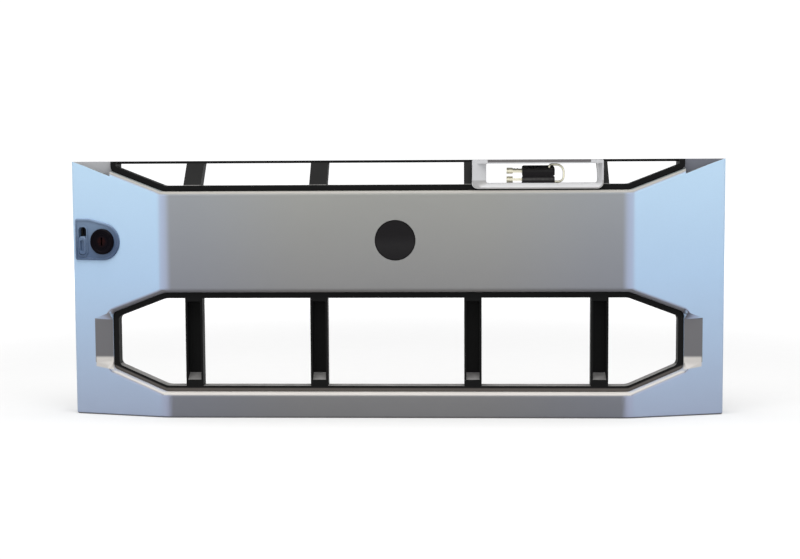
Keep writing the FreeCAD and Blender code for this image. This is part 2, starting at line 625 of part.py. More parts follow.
def key_head():
    """Moulded head lying flat on z = 0, its front edge on d = KEY_FRONT."""
    points = [(KEY_LEFT, KEY_FRONT), (KEY_RIGHT, KEY_FRONT), (KEY_RIGHT, KEY_BACK), (KEY_LEFT, KEY_BACK)]
    wire = rounded([(px, y(pd), 0) for px, pd in points], [1.6, 3.0, 3.0, 1.6])
    head = Part.Face(wire).extrude(V(0, 0, KEY_H))
    rims = [e for e in head.Edges if e.BoundBox.ZMin > KEY_H - 1e-6]
    head = head.makeChamfer(0.7, rims)
    middle = (KEY_FRONT + KEY_BACK) / 2
    hole = rod(KEY_HOLE, KEY_H + 2, 12)
    hole.translate(V(KEY_HOLE_X, y(middle), -1))
    half = RING_WIRE / 2 + FIT
    groove = box(KEY_HOLE_X, KEY_RIGHT + 1, middle - half, middle + half, -1, RING_WIRE + FIT)
    grip = [box(KEY_LEFT + 4 + 3 * k, KEY_LEFT + 5.2 + 3 * k, KEY_FRONT + 2, KEY_BACK - 2,
                KEY_H - 0.4, KEY_H + 1)
            for k in range(3)]
    return cut_all(head, [hole, groove, key_blade()] + grip)


def key_blade():
    """Flat blade with a round boss and two bits, rooted in the head."""
    middle = (KEY_FRONT + KEY_BACK) / 2
    centre = KEY_H / 2
    bar = box(KEY_LEFT - 6.5, KEY_LEFT + 5.0, middle - 2.4, middle + 2.4, centre - 0.8, centre + 0.8)
    boss = rod(4.2, 4.2, 12)
    boss.rotate(V(0, 0, 0), V(0, 1, 0), 90)
    boss.translate(V(KEY_LEFT - 10.4, y(middle), centre))
    bits = [box(KEY_LEFT - 5.6 + 2.2 * k, KEY_LEFT - 4.6 + 2.2 * k, middle + 2.3, middle + 3.4,
                centre - 0.8, centre + 0.8) for k in range(2)]
    return fuse_all([bar, boss] + bits)


def place_lower(shape):
    placed = shape.copy()
    placed.translate(V(0, 0, TRAY_FLOOR))
    return placed


def place_upper(shape):
    """The second key lies on the first and leans up toward the back."""
    placed = shape.copy()
    placed.rotate(V(0, y(KEY_FRONT), 0), V(1, 0, 0), UPPER_KEY_TILT)
    placed.translate(V(0, 0.35, TRAY_FLOOR + KEY_H - 0.02))
    return placed


def key_ring():
    """Closed wire loop that stands on the tray and passes up through both heads."""
    middle, wire = y((KEY_FRONT + KEY_BACK) / 2), RING_WIRE / 2
    x0, x1 = KEY_HOLE_X, KEY_RIGHT + RING_REACH - wire
    z0, z1 = TRAY_FLOOR + wire, TRAY_ROOF - wire - 0.05
    rings = []
    for x, z, bend, first in ((x1, z0, 3.6, 270), (x1, z1, 5.0, 0), (x0, z1, 1.6, 90), (x0, z0, 1.6, 180)):
        cx, cz = x - math.copysign(bend, x - (x0 + x1) / 2), z - math.copysign(bend, z - (z0 + z1) / 2)
        for k in range(4):
            along = math.radians(first + 30 * k)
            section = []
            for side in range(6):
                turn = math.radians(60 * side)
                out = bend + wire * math.cos(turn)
                section.append(V(cx + out * math.cos(along), middle + wire * math.sin(turn),
                                 cz + out * math.sin(along)))
            rings.append(section)
    return skinned(rings, looped=True)


# Lock pod, lock and latch on the left wing

def pod_wire(grow, n):
    """Teardrop outline in wing coordinates (z, u, n)."""
    r = POD_RADIUS + grow
    top, outer = POD_TOP + grow, POD_OUTER_U + grow
    bottom = LOCK_Z - r
    px, pu = top - LOCK_Z, POD_SHOULDER_U - LOCK_U - grow * 0.2
    far = math.hypot(px, pu)
    base, half = math.atan2(px, pu), math.acos(r / far)
    touch = base + half
    turns = [touch + (1.5 * math.pi - touch) * k / 20 for k in range(21)]
    points = [V(LOCK_Z + r * math.sin(t), LOCK_U + r * math.cos(t), n) for t in turns]
    points += [V(bottom, outer, n), V(top, outer, n), V(top, LOCK_U + pu, n), points[0]]
    return Part.makePolygon(points)


def pod_prism(grow, n0, n1):
    return on_left_wing(Part.Face(pod_wire(grow, n0)).extrude(V(0, 0, n1 - n0)))


def slot_prism(grow, n0, n1):
    z0, z1, u0, u1 = SLOT_Z0 - grow, SLOT_Z1 + grow, SLOT_U0 - grow, SLOT_U1 + grow
    wire = rounded([(z0, u0, n0), (z1, u0, n0), (z1, u1, n0), (z0, u1, n0)], [2.4 + grow] * 4)
    return on_left_wing(Part.Face(wire).extrude(V(0, 0, n1 - n0)))


def lock_pod():
    plate = Part.Face(pod_wire(0, 0)).extrude(V(0, 0, POD_PLATE))
    corners = [e for e in plate.Edges if e.BoundBox.ZLength > 0.5 and e.CenterOfMass.y > POD_SHOULDER_U - 0.5]
    plate = plate.makeFillet(1.6, corners)
    rim = [e for e in plate.Edges if e.BoundBox.ZLength < 1e-6 and e.CenterOfMass.z > POD_PLATE - 0.01]
    plate = on_left_wing(plate.makeChamfer(0.5, rim))
    pod = plate.fuse(pod_prism(-POD_STEP, -SKIN, 0.2))
    pod = pod.cut(pod_prism(-1.4, POD_PLATE - POD_DISH, POD_PLATE + 1))
    collar = slot_prism(0.9, POD_PLATE - POD_DISH - 0.2, POD_PLATE + 0.1)
    pod = pod.fuse(collar.common(pod_prism(-0.2, 0, 3)))
    return cut_all(pod, [wing_rod(LOCK_Z, LOCK_U, BARREL_D + 2 * FIT, -9, 5, 24), slot_prism(0, -9, 5)])


def hexagon(across, thickness, z, u, n):
    r = across / math.sqrt(3)
    points = [V(z + r * math.cos(math.radians(60 * k)), u + r * math.sin(math.radians(60 * k)), n)
              for k in range(7)]
    return Part.Face(Part.makePolygon(points)).extrude(V(0, 0, thickness))


def lock_barrel():
    seat = POD_PLATE - POD_DISH
    radius = BARREL_HEAD_D / 2
    head = turned([(radius, seat), (radius, BARREL_FRONT - 0.7), (radius - 0.7, BARREL_FRONT)])
    dish = turned([(radius - 2.4, BARREL_FRONT - 0.5), (radius - 1.6, BARREL_FRONT),
                   (radius - 1.44, BARREL_FRONT + 0.1)])
    body = rod(BARREL_D, seat - BARREL_BACK + 0.1, 24)
    body.translate(V(0, 0, BARREL_BACK))
    for piece in (head, dish, body):
        piece.translate(V(LOCK_Z, LOCK_U, 0))
    bore = Part.makeCylinder(PLUG_D / 2 + TURN_FIT, 60, V(LOCK_Z, LOCK_U, -30))
    counter = Part.makeCylinder(PLUG_HEAD_D / 2 + TURN_FIT, 5,
                                V(LOCK_Z, LOCK_U, BARREL_FRONT - 0.5 - PLUG_HEAD_T))
    flats = [Part.makeBox(20, 3, 12, V(LOCK_Z - 10, LOCK_U + s * 6.8 - 1.5, BARREL_BACK - 0.5))
             for s in (-1, 1)]
    return on_left_wing(cut_all(fuse_all([head, body]), [dish, bore, counter] + flats))


def lock_nut():
    nut = hexagon(NUT_AF, NUT_T, LOCK_Z, LOCK_U, GUIDE_BACK - NUT_T)
    hole = wing_rod(LOCK_Z, LOCK_U, BARREL_D + 0.1, GUIDE_BACK - 6, GUIDE_BACK + 4, 24)
    return on_left_wing(nut).cut(hole)


CAM_FRONT = BARREL_BACK - 0.7


def lock_plug():
    front = BARREL_FRONT - 0.5
    head = Part.makeCylinder(PLUG_HEAD_D / 2, PLUG_HEAD_T, V(LOCK_Z, LOCK_U, front - PLUG_HEAD_T))
    body = Part.makeCylinder(PLUG_D / 2, front - CAM_FRONT - 0.3, V(LOCK_Z, LOCK_U, CAM_FRONT))
    half = PLUG_SQUARE / 2
    square = Part.makeBox(PLUG_SQUARE, PLUG_SQUARE, CAM_T + 0.3,
                          V(LOCK_Z - half, LOCK_U - half, CAM_FRONT - CAM_T))
    keyway = Part.makeBox(5.6, 1.3, 9.0, V(LOCK_Z - 2.8, LOCK_U - 0.65, front - 8.0))
    thread = wing_rod(LOCK_Z, LOCK_U, SCREW_D + PILOT_GAP, CAM_FRONT - CAM_T - 1, CAM_FRONT - CAM_T + 7)
    return on_left_wing(fuse_all([head, body, square]).cut(keyway)).cut(thread)


def lock_cam():
    """Flat arm that points down when locked."""
    back = CAM_FRONT - CAM_T
    root = Part.makeCylinder(CAM_W / 2 + 1.0, CAM_T, V(LOCK_Z, LOCK_U, back))
    arm = Part.makeBox(CAM_L - CAM_W / 2, CAM_W, CAM_T,
                       V(LOCK_Z - CAM_L + CAM_W / 2, LOCK_U - CAM_W / 2, back))
    tip = Part.makeCylinder(CAM_W / 2, CAM_T, V(LOCK_Z - CAM_L + CAM_W / 2, LOCK_U, back))
    side = PLUG_SQUARE + 2 * TURN_FIT
    hole = Part.makeBox(side, side, CAM_T + 2, V(LOCK_Z - side / 2, LOCK_U - side / 2, back - 1))
    return on_left_wing(fuse_all([root, arm, tip]).cut(hole))


def cam_screw():
    made = screw(6.0, 7.4, 1.8)
    made.rotate(V(0, 0, 0), V(1, 0, 0), 180)
    made.translate(V(LOCK_Z, LOCK_U, CAM_FRONT - CAM_T))
    return on_left_wing(made)


def spring_pin(z0, z1, u):
    """Short pin along the wing's height that centres one end of the spring."""
    pin = rod(3.0, z1 - z0)
    pin.rotate(V(0, 0, 0), V(0, 1, 0), 90)
    pin.translate(V(z0, u, SPRING_N))
    return pin


def latch_guide():
    """Moulded plate behind the pod with two rails, two bridges over the strip and a seat for the spring."""
    outline = [(-25.9, -15.9), (32.6, -15.9), (32.6, 20.0), (-28.4, 20.0), (-28.4, 6.6), (-25.9, 4.6)]
    corners = [(LOCK_Z + dz, LOCK_U + du, GUIDE_BACK) for dz, du in outline]
    plate = Part.Face(rounded(corners, [3, 3, 1, 3, 1, 1])).extrude(V(0, 0, GUIDE_T))
    rails = []
    back = SLIDE_BACK - SLIDE_GAP
    for u0, u1 in ((SLIDE_U0 - SLIDE_GAP - 1.5, SLIDE_U0 - SLIDE_GAP),
                   (SLIDE_U1 + SLIDE_GAP, SLIDE_U1 + SLIDE_GAP + 1.5)):
        rails.append(Part.makeBox(41.0, u1 - u0, GUIDE_BACK - back + 0.1, V(LOCK_Z - 19.4, u0, back)))
    middle = (SLIDE_U0 + SLIDE_U1) / 2
    u0, u1 = SLIDE_U0 - SLIDE_GAP - 1.5, SLIDE_U1 + SLIDE_GAP + 1.5
    for z0, z1 in ((LOCK_Z - 19.4, LOCK_Z - 13.9), (SPRING_HIGH_Z, LOCK_Z + 21.6)):
        rails.append(Part.makeBox(z1 - z0, u1 - u0, 1.6, V(z0, u0, back - 1.6)))
    low = SPRING_N - SPRING_R - 0.4
    seat = Part.makeBox(2.4, 6.4, back - low, V(SPRING_HIGH_Z, middle - 3.2, low))
    pin = spring_pin(SPRING_HIGH_Z - 2.9, SPRING_HIGH_Z + 0.1, middle)
    web = Part.makeBox(4.6, 1.6, 4.0, V(SPRING_HIGH_Z + 2.3, middle - 0.8, back - 4.5))
    guide = fuse_all([plate] + rails + [seat, pin, web])
    cuts = [wing_rod(LOCK_Z, LOCK_U, BARREL_D + 2 * FIT, -15, 5, 24), slot_prism(0.3, -9.0, 5)]
    half = SPACER_W / 2 + FIT
    for z, u in FLANGE_SCREWS_LEFT:
        cuts.append(wing_box(z - half, z + half, u - half, u + half, -15, 5))
    return cut_all(on_left_wing(guide), cuts)


def flange_screws(spots, seat):
    return [flange_screw_on_wing(z, u, seat, -seat - FLANGE_SCREW_STOP) for z, u in spots]


def latch_guide_screws():
    return Part.makeCompound(flange_screws(FLANGE_SCREWS_LEFT, GUIDE_BACK))


def hook_arms(x0, x1, strip_back):
    """Arms bent back from the strip, each with a nose that points down."""
    made = []
    for z0, z1 in HOOK_Z:
        points = [(strip_back, z0), (DEPTH - 4.6, z0), (DEPTH - 4.6, z0 - HOOK_NOSE),
                  (DEPTH - 1.2, z0 - HOOK_NOSE),
                  (DEPTH, z0 - HOOK_NOSE + 2.4), (DEPTH, z1 - 1.5), (DEPTH - 1.5, z1), (strip_back, z1)]
        made.append(side_prism(points, x0, x1))
    return made


def latch_slide():
    strip = wing_box(SLIDE_Z0, SLIDE_Z1, SLIDE_U0, SLIDE_U1, SLIDE_BACK, SLIDE_FRONT)
    depth = surface_depth(HOOK_X0) - SLIDE_FRONT + 1.2
    arms = hook_arms(-HOOK_X1, -HOOK_X0, depth)
    middle = (SLIDE_U0 + SLIDE_U1) / 2
    seat = wing_box(SPRING_LOW_Z - SLIDE_T, SPRING_LOW_Z, middle - 2.6, middle + 2.6,
                    SPRING_N - SPRING_R, SLIDE_BACK + 0.1)
    pin = on_left_wing(spring_pin(SPRING_LOW_Z - 0.1, SPRING_LOW_Z + 2.8, middle))
    slide = fuse_all([strip] + arms + [seat, pin])
    holes = [wing_rod(z, middle, STEM_D + 2 * FIT, -10, -3) for z in STEM_Z]
    return cut_all(slide, holes)


def release_latch():
    """Finger tab: a rounded pad in the slot, with two stems staked behind the strip."""
    z0, z1, u0, u1 = TAB_Z0, TAB_Z1, SLOT_U0 + 0.2, SLOT_U1 - 0.2
    wire = rounded([(z0, u0, SLIDE_FRONT), (z1, u0, SLIDE_FRONT), (z1, u1, SLIDE_FRONT),
                    (z0, u1, SLIDE_FRONT)], [2.3] * 4)
    pad = Part.Face(wire).extrude(V(0, 0, POD_PLATE + 0.6 - SLIDE_FRONT))
    top = POD_PLATE + 0.6
    rim = [e for e in pad.Edges if e.BoundBox.ZLength < 1e-6 and e.CenterOfMass.z > top - 0.01]
    pad = pad.makeChamfer(0.6, rim)
    wire = rounded([(z0 + 2.6, u0 + 1.3, top), (z1 - 2.6, u0 + 1.3, top), (z1 - 2.6, u1 - 1.3, top),
                    (z0 + 2.6, u1 - 1.3, top)], [1.2] * 4)
    pad = pad.cut(Part.Face(wire).extrude(V(0, 0, -1.2)))
    middle = (SLIDE_U0 + SLIDE_U1) / 2
    stems = []
    for z in STEM_Z:
        stems.append(wing_rod(z, middle, STEM_D, SLIDE_BACK - 0.1, SLIDE_FRONT + 0.1))
        stems.append(wing_rod(z, middle, STEM_D + 1, SLIDE_BACK - 0.8, SLIDE_BACK))
    return fuse_all([on_left_wing(pad)] + stems)


def latch_spring():
    """Compression spring with closed ends between the strip's lug and the guide's seat."""
    middle = (SLIDE_U0 + SLIDE_U1) / 2
    length = SPRING_HIGH_Z - SPRING_LOW_Z - SPRING_WIRE
    close, steps = SPRING_WIRE * 1.04, 12
    r, c = SPRING_WIRE / 2, SPRING_MEAN / 2
    sections = []
    for k in range(steps * (SPRING_TURNS + 2) + 1):
        lap, turn = k / steps, 2 * math.pi * k / steps
        rise = close * min(lap, 1.0) + (length - 2 * close) * min(max((lap - 1) / SPRING_TURNS, 0.0), 1.0)
        rise += close * max(lap - 1 - SPRING_TURNS, 0.0)
        sections.append([V((c + a * r) * math.cos(turn), (c + a * r) * math.sin(turn), rise + b * r)
                         for a, b in ((-1, 0), (0.6, -1), (0.6, 1))])
    coil = skinned(sections, twisted=True)
    # the helix rises along Z; in wing coordinates that is the local x direction
    coil.rotate(V(0, 0, 0), V(0, 1, 0), 90)
    coil.translate(V(SPRING_LOW_Z + SPRING_WIRE / 2, middle, SPRING_N))
    return on_left_wing(coil)


def right_hook_plate():
    back = -SKIN - SLIDE_T
    strip = wing_box(SLIDE_Z0, SLIDE_Z1, SLIDE_U0, STRIP_U1, back, -SKIN)
    wide_low, wide_high = FLANGE_SCREWS_RIGHT[0][0] - WIDE_MARGIN, FLANGE_SCREWS_RIGHT[-1][0] + WIDE_MARGIN
    wide = wing_box(wide_low, wide_high, STRIP_U0, STRIP_U1, back, -SKIN)
    depth = surface_depth(HOOK_X0) + SKIN + 1.0
    plate = fuse_all([strip, wide] + hook_arms(-HOOK_X1, -HOOK_X0, depth))
    half = SPACER_W / 2 + FIT
    holes = [wing_box(z - half, z + half, u - half, u + half, -10, -1) for z, u in FLANGE_SCREWS_RIGHT]
    return mirrored(cut_all(plate, holes))


def right_hook_screws():
    return Part.makeCompound([mirrored(s) for s in flange_screws(FLANGE_SCREWS_RIGHT, -SKIN - SLIDE_T)])


PARTS = {
    "fascia": fascia,
    "inner_frame": inner_frame,
    "frame_screws": frame_screws,
    "badge": badge,
    "badge_clips": badge_clips,
    "display_frame": display_frame,
    "display_frame_screws": display_frame_screws,
    "key_head_lower": lambda: place_lower(key_head()),
    "key_blade_lower": lambda: place_lower(key_blade()),
    "key_head_upper": lambda: place_upper(key_head()),
    "key_blade_upper": lambda: place_upper(key_blade()),
    "key_ring": key_ring,
    "lock_pod": lock_pod,
    "lock_barrel": lock_barrel,
    "lock_nut": lock_nut,
    "lock_plug": lock_plug,
    "lock_cam": lock_cam,
    "cam_screw": cam_screw,
    "release_latch": release_latch,
    "latch_slide": latch_slide,
    "latch_spring": latch_spring,
    "latch_guide": latch_guide,
    "latch_guide_screws": latch_guide_screws,
    "right_hook_plate": right_hook_plate,
    "right_hook_screws": right_hook_screws,
}

os.makedirs("parts", exist_ok=True)
for name, make in PARTS.items():
    shape = make()
    shape.exportStep(os.path.join("parts", name + ".step"))
    b = shape.BoundBox
    print("%-22s solids %d valid %s  %.1f..%.1f  %.1f..%.1f  %.1f..%.1f" % (
        name, len(shape.Solids), shape.isValid(), b.XMin, b.XMax, b.YMin, b.YMax, b.ZMin, b.ZMax))
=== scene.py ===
import json
import math

import bmesh
import bpy
from bpy.props import FloatProperty, FloatVectorProperty, IntProperty, PointerProperty
from mathutils import Matrix, Vector


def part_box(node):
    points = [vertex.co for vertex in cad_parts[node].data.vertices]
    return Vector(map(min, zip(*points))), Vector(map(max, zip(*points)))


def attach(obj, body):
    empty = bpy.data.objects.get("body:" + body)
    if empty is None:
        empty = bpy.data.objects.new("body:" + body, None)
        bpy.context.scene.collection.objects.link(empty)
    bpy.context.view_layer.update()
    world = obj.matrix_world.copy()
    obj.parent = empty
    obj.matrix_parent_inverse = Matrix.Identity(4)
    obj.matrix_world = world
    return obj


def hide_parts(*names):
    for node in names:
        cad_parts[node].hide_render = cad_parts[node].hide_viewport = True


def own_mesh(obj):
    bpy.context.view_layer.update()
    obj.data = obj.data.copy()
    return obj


bl_info = {
    "name": "Server front bezel",
    "version": (1, 0, 0),
    "blender": (4, 5, 0),
    "location": "3D View > Sidebar > Bezel",
    "description": "Finishes and fine pieces of a server front bezel, round its solid parts",
    "category": "Add Mesh",
}

MM = 0.001

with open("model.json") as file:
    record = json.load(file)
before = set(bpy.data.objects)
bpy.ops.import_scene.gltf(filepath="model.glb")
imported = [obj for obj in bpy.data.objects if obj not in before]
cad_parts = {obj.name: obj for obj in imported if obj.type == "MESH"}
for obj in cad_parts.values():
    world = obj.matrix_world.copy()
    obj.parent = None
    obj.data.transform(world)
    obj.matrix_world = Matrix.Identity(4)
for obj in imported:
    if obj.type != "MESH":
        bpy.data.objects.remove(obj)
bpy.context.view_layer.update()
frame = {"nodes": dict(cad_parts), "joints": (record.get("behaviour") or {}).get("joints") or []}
JOINTS = {joint["name"]: joint for joint in frame["joints"]}
LOCK_CENTRE = Vector(JOINTS["lock_turn"]["pos_m"])
LOCK_AXIS = Vector(JOINTS["lock_turn"]["axis"]).normalized()

# Outline of the fascia, as far as its tones follow it
FASCIA_LOW, FASCIA_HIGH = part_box("fascia")
HEIGHT = FASCIA_HIGH.z
CREASE_X = FASCIA_HIGH.x - 66.0 * MM
WING_SLOPE = 0.27
OUTWARD_FROM, OUTWARD_TO = 50.0 * MM, 155.0 * MM
SKIN_DEPTH, OUTER_WALL, SOFT_EDGE = 4.1 * MM, 1.0 * MM, 0.5 * MM
WINDOW_BOTTOM, WINDOW_MIDDLE = 17.6 * MM, 51.7 * MM
WINDOW_SLANT = 0.385
SHEEN_WIDTH = 2.9 * MM
POCKET_IN, POCKET_OUT = FASCIA_HIGH.x - 27.7 * MM, FASCIA_HIGH.x - 16.0 * MM
POCKET_CLEAR = 3.0 * MM
POCKET_FOOT, POCKET_FOOT_TOP, POCKET_FOOT_SLANT = 31.6 * MM, 41.2 * MM, 0.16
POCKET_SHOULDER, SHOULDER_HALF = 66.5 * MM, 1.5 * MM
# Below this height, faces that look up take pale dusting mixed with painted highlight
DUST_AND_HIGHLIGHT_UNDER = HEIGHT - 16.4 * MM

# Boxes and lengths of the smaller parts
DISPLAY_LOW, DISPLAY_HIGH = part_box("display_frame")
STRIP_LEFT, STRIP_RIGHT = DISPLAY_LOW.x + 10.5 * MM, DISPLAY_HIGH.x - 8.5 * MM
STRIP_UNDER = DISPLAY_HIGH.z - 1.6 * MM
DISPLAY_SILL = HEIGHT - 14.4 * MM
BADGE_LOW, BADGE_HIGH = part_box("badge")
BADGE_THICK = 1.4 * MM
STUD_RADIUS, STUD_LENGTH, STUD_TIP = 1.5 * MM, 6.4 * MM, 0.4 * MM
STUD_FROM_MIDDLE = 7.0 * MM
RING_LOW, RING_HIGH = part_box("key_ring")
RING_TIGHT, RING_FOOT, RING_WIDE = 1.6 * MM, 3.6 * MM, 5.0 * MM
SPRING_LOW, SPRING_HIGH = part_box("latch_spring")
COIL_RADIUS, COIL_STEPS = 2.3 * MM, 24
POD_LOW, POD_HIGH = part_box("lock_pod")

# Tones of a part of a piece, and tints that multiply the tone below them
WORN_SILVER = (0.62, 0.62, 0.61)
# Painted reflection: the middle turns bluer toward the creases
OUTWARD_REFLECTION_TINT = (0.93, 0.975, 1.10)
# Painted shade on faces that look down
UNDERSIDE_SHADE = (0.78, 0.75, 0.74)
# Painted highlight and bluer painted reflection on the wings' faces that look up, lighter toward the bottom
WING_LIP_LOW, WING_LIP_TOP = (0.80, 0.88, 1.06), (0.50, 0.58, 0.64)
# Painted shade on the pocket floors; painted light on the left shoulder and painted shade on the right
POCKET_FLOOR_SHADE = (0.73, 0.69, 0.64)
SHOULDER_LEFT_LIT, SHOULDER_RIGHT_SHADED = (1.30, 1.24, 1.22), (0.46, 0.46, 0.52)
# Pale grey of dusting mixed with painted highlight on faces that look up
DUST_AND_HIGHLIGHT_GREY, EDGE_WEAR_AND_HIGHLIGHT_GREY = (0.42, 0.41, 0.40), (0.30, 0.30, 0.30)
SHEEN_GREY = (0.115, 0.103, 0.094)
DISPLAY_FOOT_GREY = (0.41, 0.40, 0.395)
# Painted highlight along the middle of each key head
HEAD_HIGHLIGHT_BANDS = {"lower": (0.070, 0.068, 0.066), "upper": (0.024, 0.023, 0.023)}
POD_TINT, POD_WORN = (0.62, 0.66, 0.74), (0.42, 0.47, 0.55)
KEYWAY_GLOW = (0.035, 0.008, 0.006)
# Painted shade on the latch slide where it shows through the pod's slot
SLOT_SHADE = (0.022, 0.026, 0.034)
SPRING_GREY = (0.42, 0.42, 0.43)
PAPER_GREY = (0.50, 0.50, 0.50)
WHITE = (1.0, 1.0, 1.0)
ROOM_TINT, FRONT_TINT, TOP_TINT = (0.93, 0.95, 1.0), (0.93, 0.97, 1.0), (1.0, 0.99, 0.97)


def colour_property(name, description, default):
    return FloatVectorProperty(name=name, description=description, subtype="COLOR", size=3,
                               min=0.0, max=1.0, default=default)


def length_property(name, description, default):
    return FloatProperty(name=name, description=description, unit="LENGTH", min=0.0, default=default)


class BezelPaint(bpy.types.PropertyGroup):
    # These tones carry painted light: the middle's grey and the wings' blue grow lighter toward the top, the
    # wings' blue and the crease's lavender are painted sky reflection, and the lips' tones are painted
    # highlight on faces that look up. Only bare is the plastic's own colour.
    middle_top: colour_property("Middle, top", "Paint of the flat middle at its top edge",
                                (0.345, 0.345, 0.320))
    middle_mid: colour_property("Middle, centre", "Paint of the flat middle at half height",
                                (0.232, 0.230, 0.230))
    middle_low: colour_property("Middle, bottom", "Paint of the flat middle at its bottom edge",
                                (0.165, 0.164, 0.168))
    wing_top: colour_property("Wing, top", "Paint of the side wings at their top", (0.52, 0.715, 0.90))
    wing_mid: colour_property("Wing, centre", "Paint of the side wings at half height", (0.43, 0.595, 0.80))
    wing_low: colour_property("Wing, bottom", "Paint of the side wings at their bottom", (0.34, 0.40, 0.53))
    crease: colour_property("Crease", "Soft crease between the middle and a wing",
                                (0.40, 0.43, 0.60))
    lip_top: colour_property("Lip, top", "Faces that look up, at the top edge", (0.255, 0.245, 0.222))
    lip_low: colour_property("Lip, bottom", "Faces that look up, at the bottom edge", (0.59, 0.56, 0.53))
    bare: colour_property("Bare plastic", "Inside of the fascia, which isn't painted", (0.050, 0.051, 0.054))
    turn_low: FloatProperty(name="Turn, low", description="Sideways lean at which the wing's tone starts",
                            min=0, max=1, default=0.01)
    turn_high: FloatProperty(name="Turn, high", description="Sideways lean at which the wing's tone is full",
                             min=0, max=1, default=0.257)
    roughness: FloatProperty(name="Roughness", description="Roughness of the paint", min=0, max=1,
                             default=0.42)


class BezelPlastics(bpy.types.PropertyGroup):
    frame_black: colour_property("Inner frame", "Moulded inner frame and latch guide", (0.007, 0.007, 0.007))
    badge_black: colour_property("Badge", "Gloss disc", (0.004, 0.003, 0.004))
    display_grey: colour_property("Display frame", "Light display frame", (0.60, 0.60, 0.61))
    strip_grey: colour_property("Display strip", "Strip along the display frame's top bar",
                                (0.120, 0.112, 0.114))
    # Painted light and sky reflection: the pod's blue tone, lighter at its top
    pod_top: colour_property("Lock pod, top", "Plate round the lock, at its top", (0.155, 0.225, 0.335))
    pod_low: colour_property("Lock pod, bottom", "Plate round the lock, at its bottom", (0.066, 0.112, 0.205))
    key_black: colour_property("Key heads", "Moulded heads of the keys", (0.014, 0.013, 0.014))
    lock_black: colour_property("Lock", "Enamel of the lock's face", (0.003, 0.002, 0.004))
    steel: colour_property("Plated steel", "Screws, slide and hook plate", (0.62, 0.62, 0.60))
    brass: colour_property("Key blades", "Plated blades and ring of the keys", (0.76, 0.73, 0.58))


class BezelPieces(bpy.types.PropertyGroup):
    badge_edge: length_property("Badge edge", "Rounding of the badge's rim", 0.5 * MM)
    badge_rise: length_property("Badge rise", "Height of the badge's dome", 0.45 * MM)
    ring_wire: length_property("Ring wire", "Thickness of the key ring's wire", 1.5 * MM)
    spring_wire: length_property("Spring wire", "Thickness of the latch spring's wire", 0.7 * MM)
    spring_turns: IntProperty(name="Spring turns", description="Open turns of the latch spring",
                              min=2, default=7)
    screw_recess: length_property("Screw recess", "Radius of the cross recess in a screw head", 1.5 * MM)


class BezelStudio(bpy.types.PropertyGroup):
    lens: FloatProperty(name="Lens", description="Focal length in millimetres", min=10, default=67.15)
    eye: FloatVectorProperty(name="Eye", description="Place of the camera", subtype="XYZ", unit="LENGTH",
                             default=(0.0436, -1.020, 0.1775))
    yaw: FloatProperty(name="Yaw", description="Turn of the camera to the right", unit="ROTATION",
                       default=-0.0404)
    pitch: FloatProperty(name="Pitch", description="Tilt of the camera downward", unit="ROTATION",
                         default=0.0828)
    roll: FloatProperty(name="Roll", description="Roll of the camera", unit="ROTATION", default=-0.0052)
    top_power: FloatProperty(name="Top lamp", description="Power of the lamp above", min=0, default=47.0)
    front_power: FloatProperty(name="Front lamps", description="Power of each front lamp", min=0, default=4.8)
    ambient: FloatProperty(name="Ambient", description="Strength of the room's light", min=0, default=0.36)


# Meshes

def merged(node):
    """Editable copy of a solid part, its loose triangles joined into whole faces."""
    bm = bmesh.new()
    bm.from_mesh(frame["nodes"][node].data)
    bmesh.ops.remove_doubles(bm, verts=bm.verts, dist=1e-6)
    bmesh.ops.dissolve_limit(bm, angle_limit=math.radians(0.4), verts=bm.verts, edges=bm.edges)
    bm.normal_update()
    return bm


def place(bm, name, body, finish, stands_for=(), sharp=32.0):
    """Makes the piece from the bmesh, with smooth faces between its sharp edges, riding on its body."""
    limit = math.radians(sharp)
    for face in bm.faces:
        face.smooth = True
    for edge in bm.edges:
        edge.smooth = len(edge.link_faces) == 2 and edge.calc_face_angle(0.0) < limit
    mesh = bpy.data.meshes.new(name)
    bm.to_mesh(mesh)
    bm.free()
    mesh.materials.append(finish.material)
    piece = bpy.data.objects.new(name, mesh)
    bpy.context.scene.collection.objects.link(piece)
    shading = piece.modifiers.new("Even shading", "WEIGHTED_NORMAL")
    shading.keep_sharp = True
    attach(piece, body)
    if stands_for:
        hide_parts(*stands_for)
    return piece


def finished_copy(node, body, finish, sharp=32.0):
    """A solid part's own shape, with its edges shaded and its finish on."""
    return place(merged(node), node + "_finish", body, finish, [node], sharp)


def turn_to(axis):
    """The turn that brings the Z axis onto the given one."""
    return Vector((0, 0, 1)).rotation_difference(axis).to_matrix().to_4x4()


def side_of(axis):
    """A direction square to the axis."""
    other = Vector((0, 0, 1)) if abs(axis.z) < 0.9 else Vector((1, 0, 0))
    return axis.cross(other).normalized()


def turned(bm, profile, centre, axis, steps=72):
    """Adds a closed turned form: the profile holds (radius, height along the axis)."""
    across = side_of(axis)
    verts = [bm.verts.new(centre + across * r + axis * h) for r, h in profile]
    edges = [bm.edges.new(pair) for pair in zip(verts, verts[1:])]
    bmesh.ops.spin(bm, geom=verts + edges, cent=centre, axis=axis, angle=2 * math.pi, steps=steps,
                   use_merge=True)
    bmesh.ops.remove_doubles(bm, verts=bm.verts, dist=1e-7)
    bmesh.ops.recalc_face_normals(bm, faces=bm.faces)


def wire_start(bm, centre, along, radius, segments=12):
    """Circle of edges square to the wire's direction."""
    made = bmesh.ops.create_circle(bm, cap_ends=False, segments=segments, radius=radius,
                                   matrix=Matrix.Translation(centre) @ turn_to(along))
    verts = made["verts"]
    edges = list({e for v in verts for e in v.link_edges})
    return verts + edges


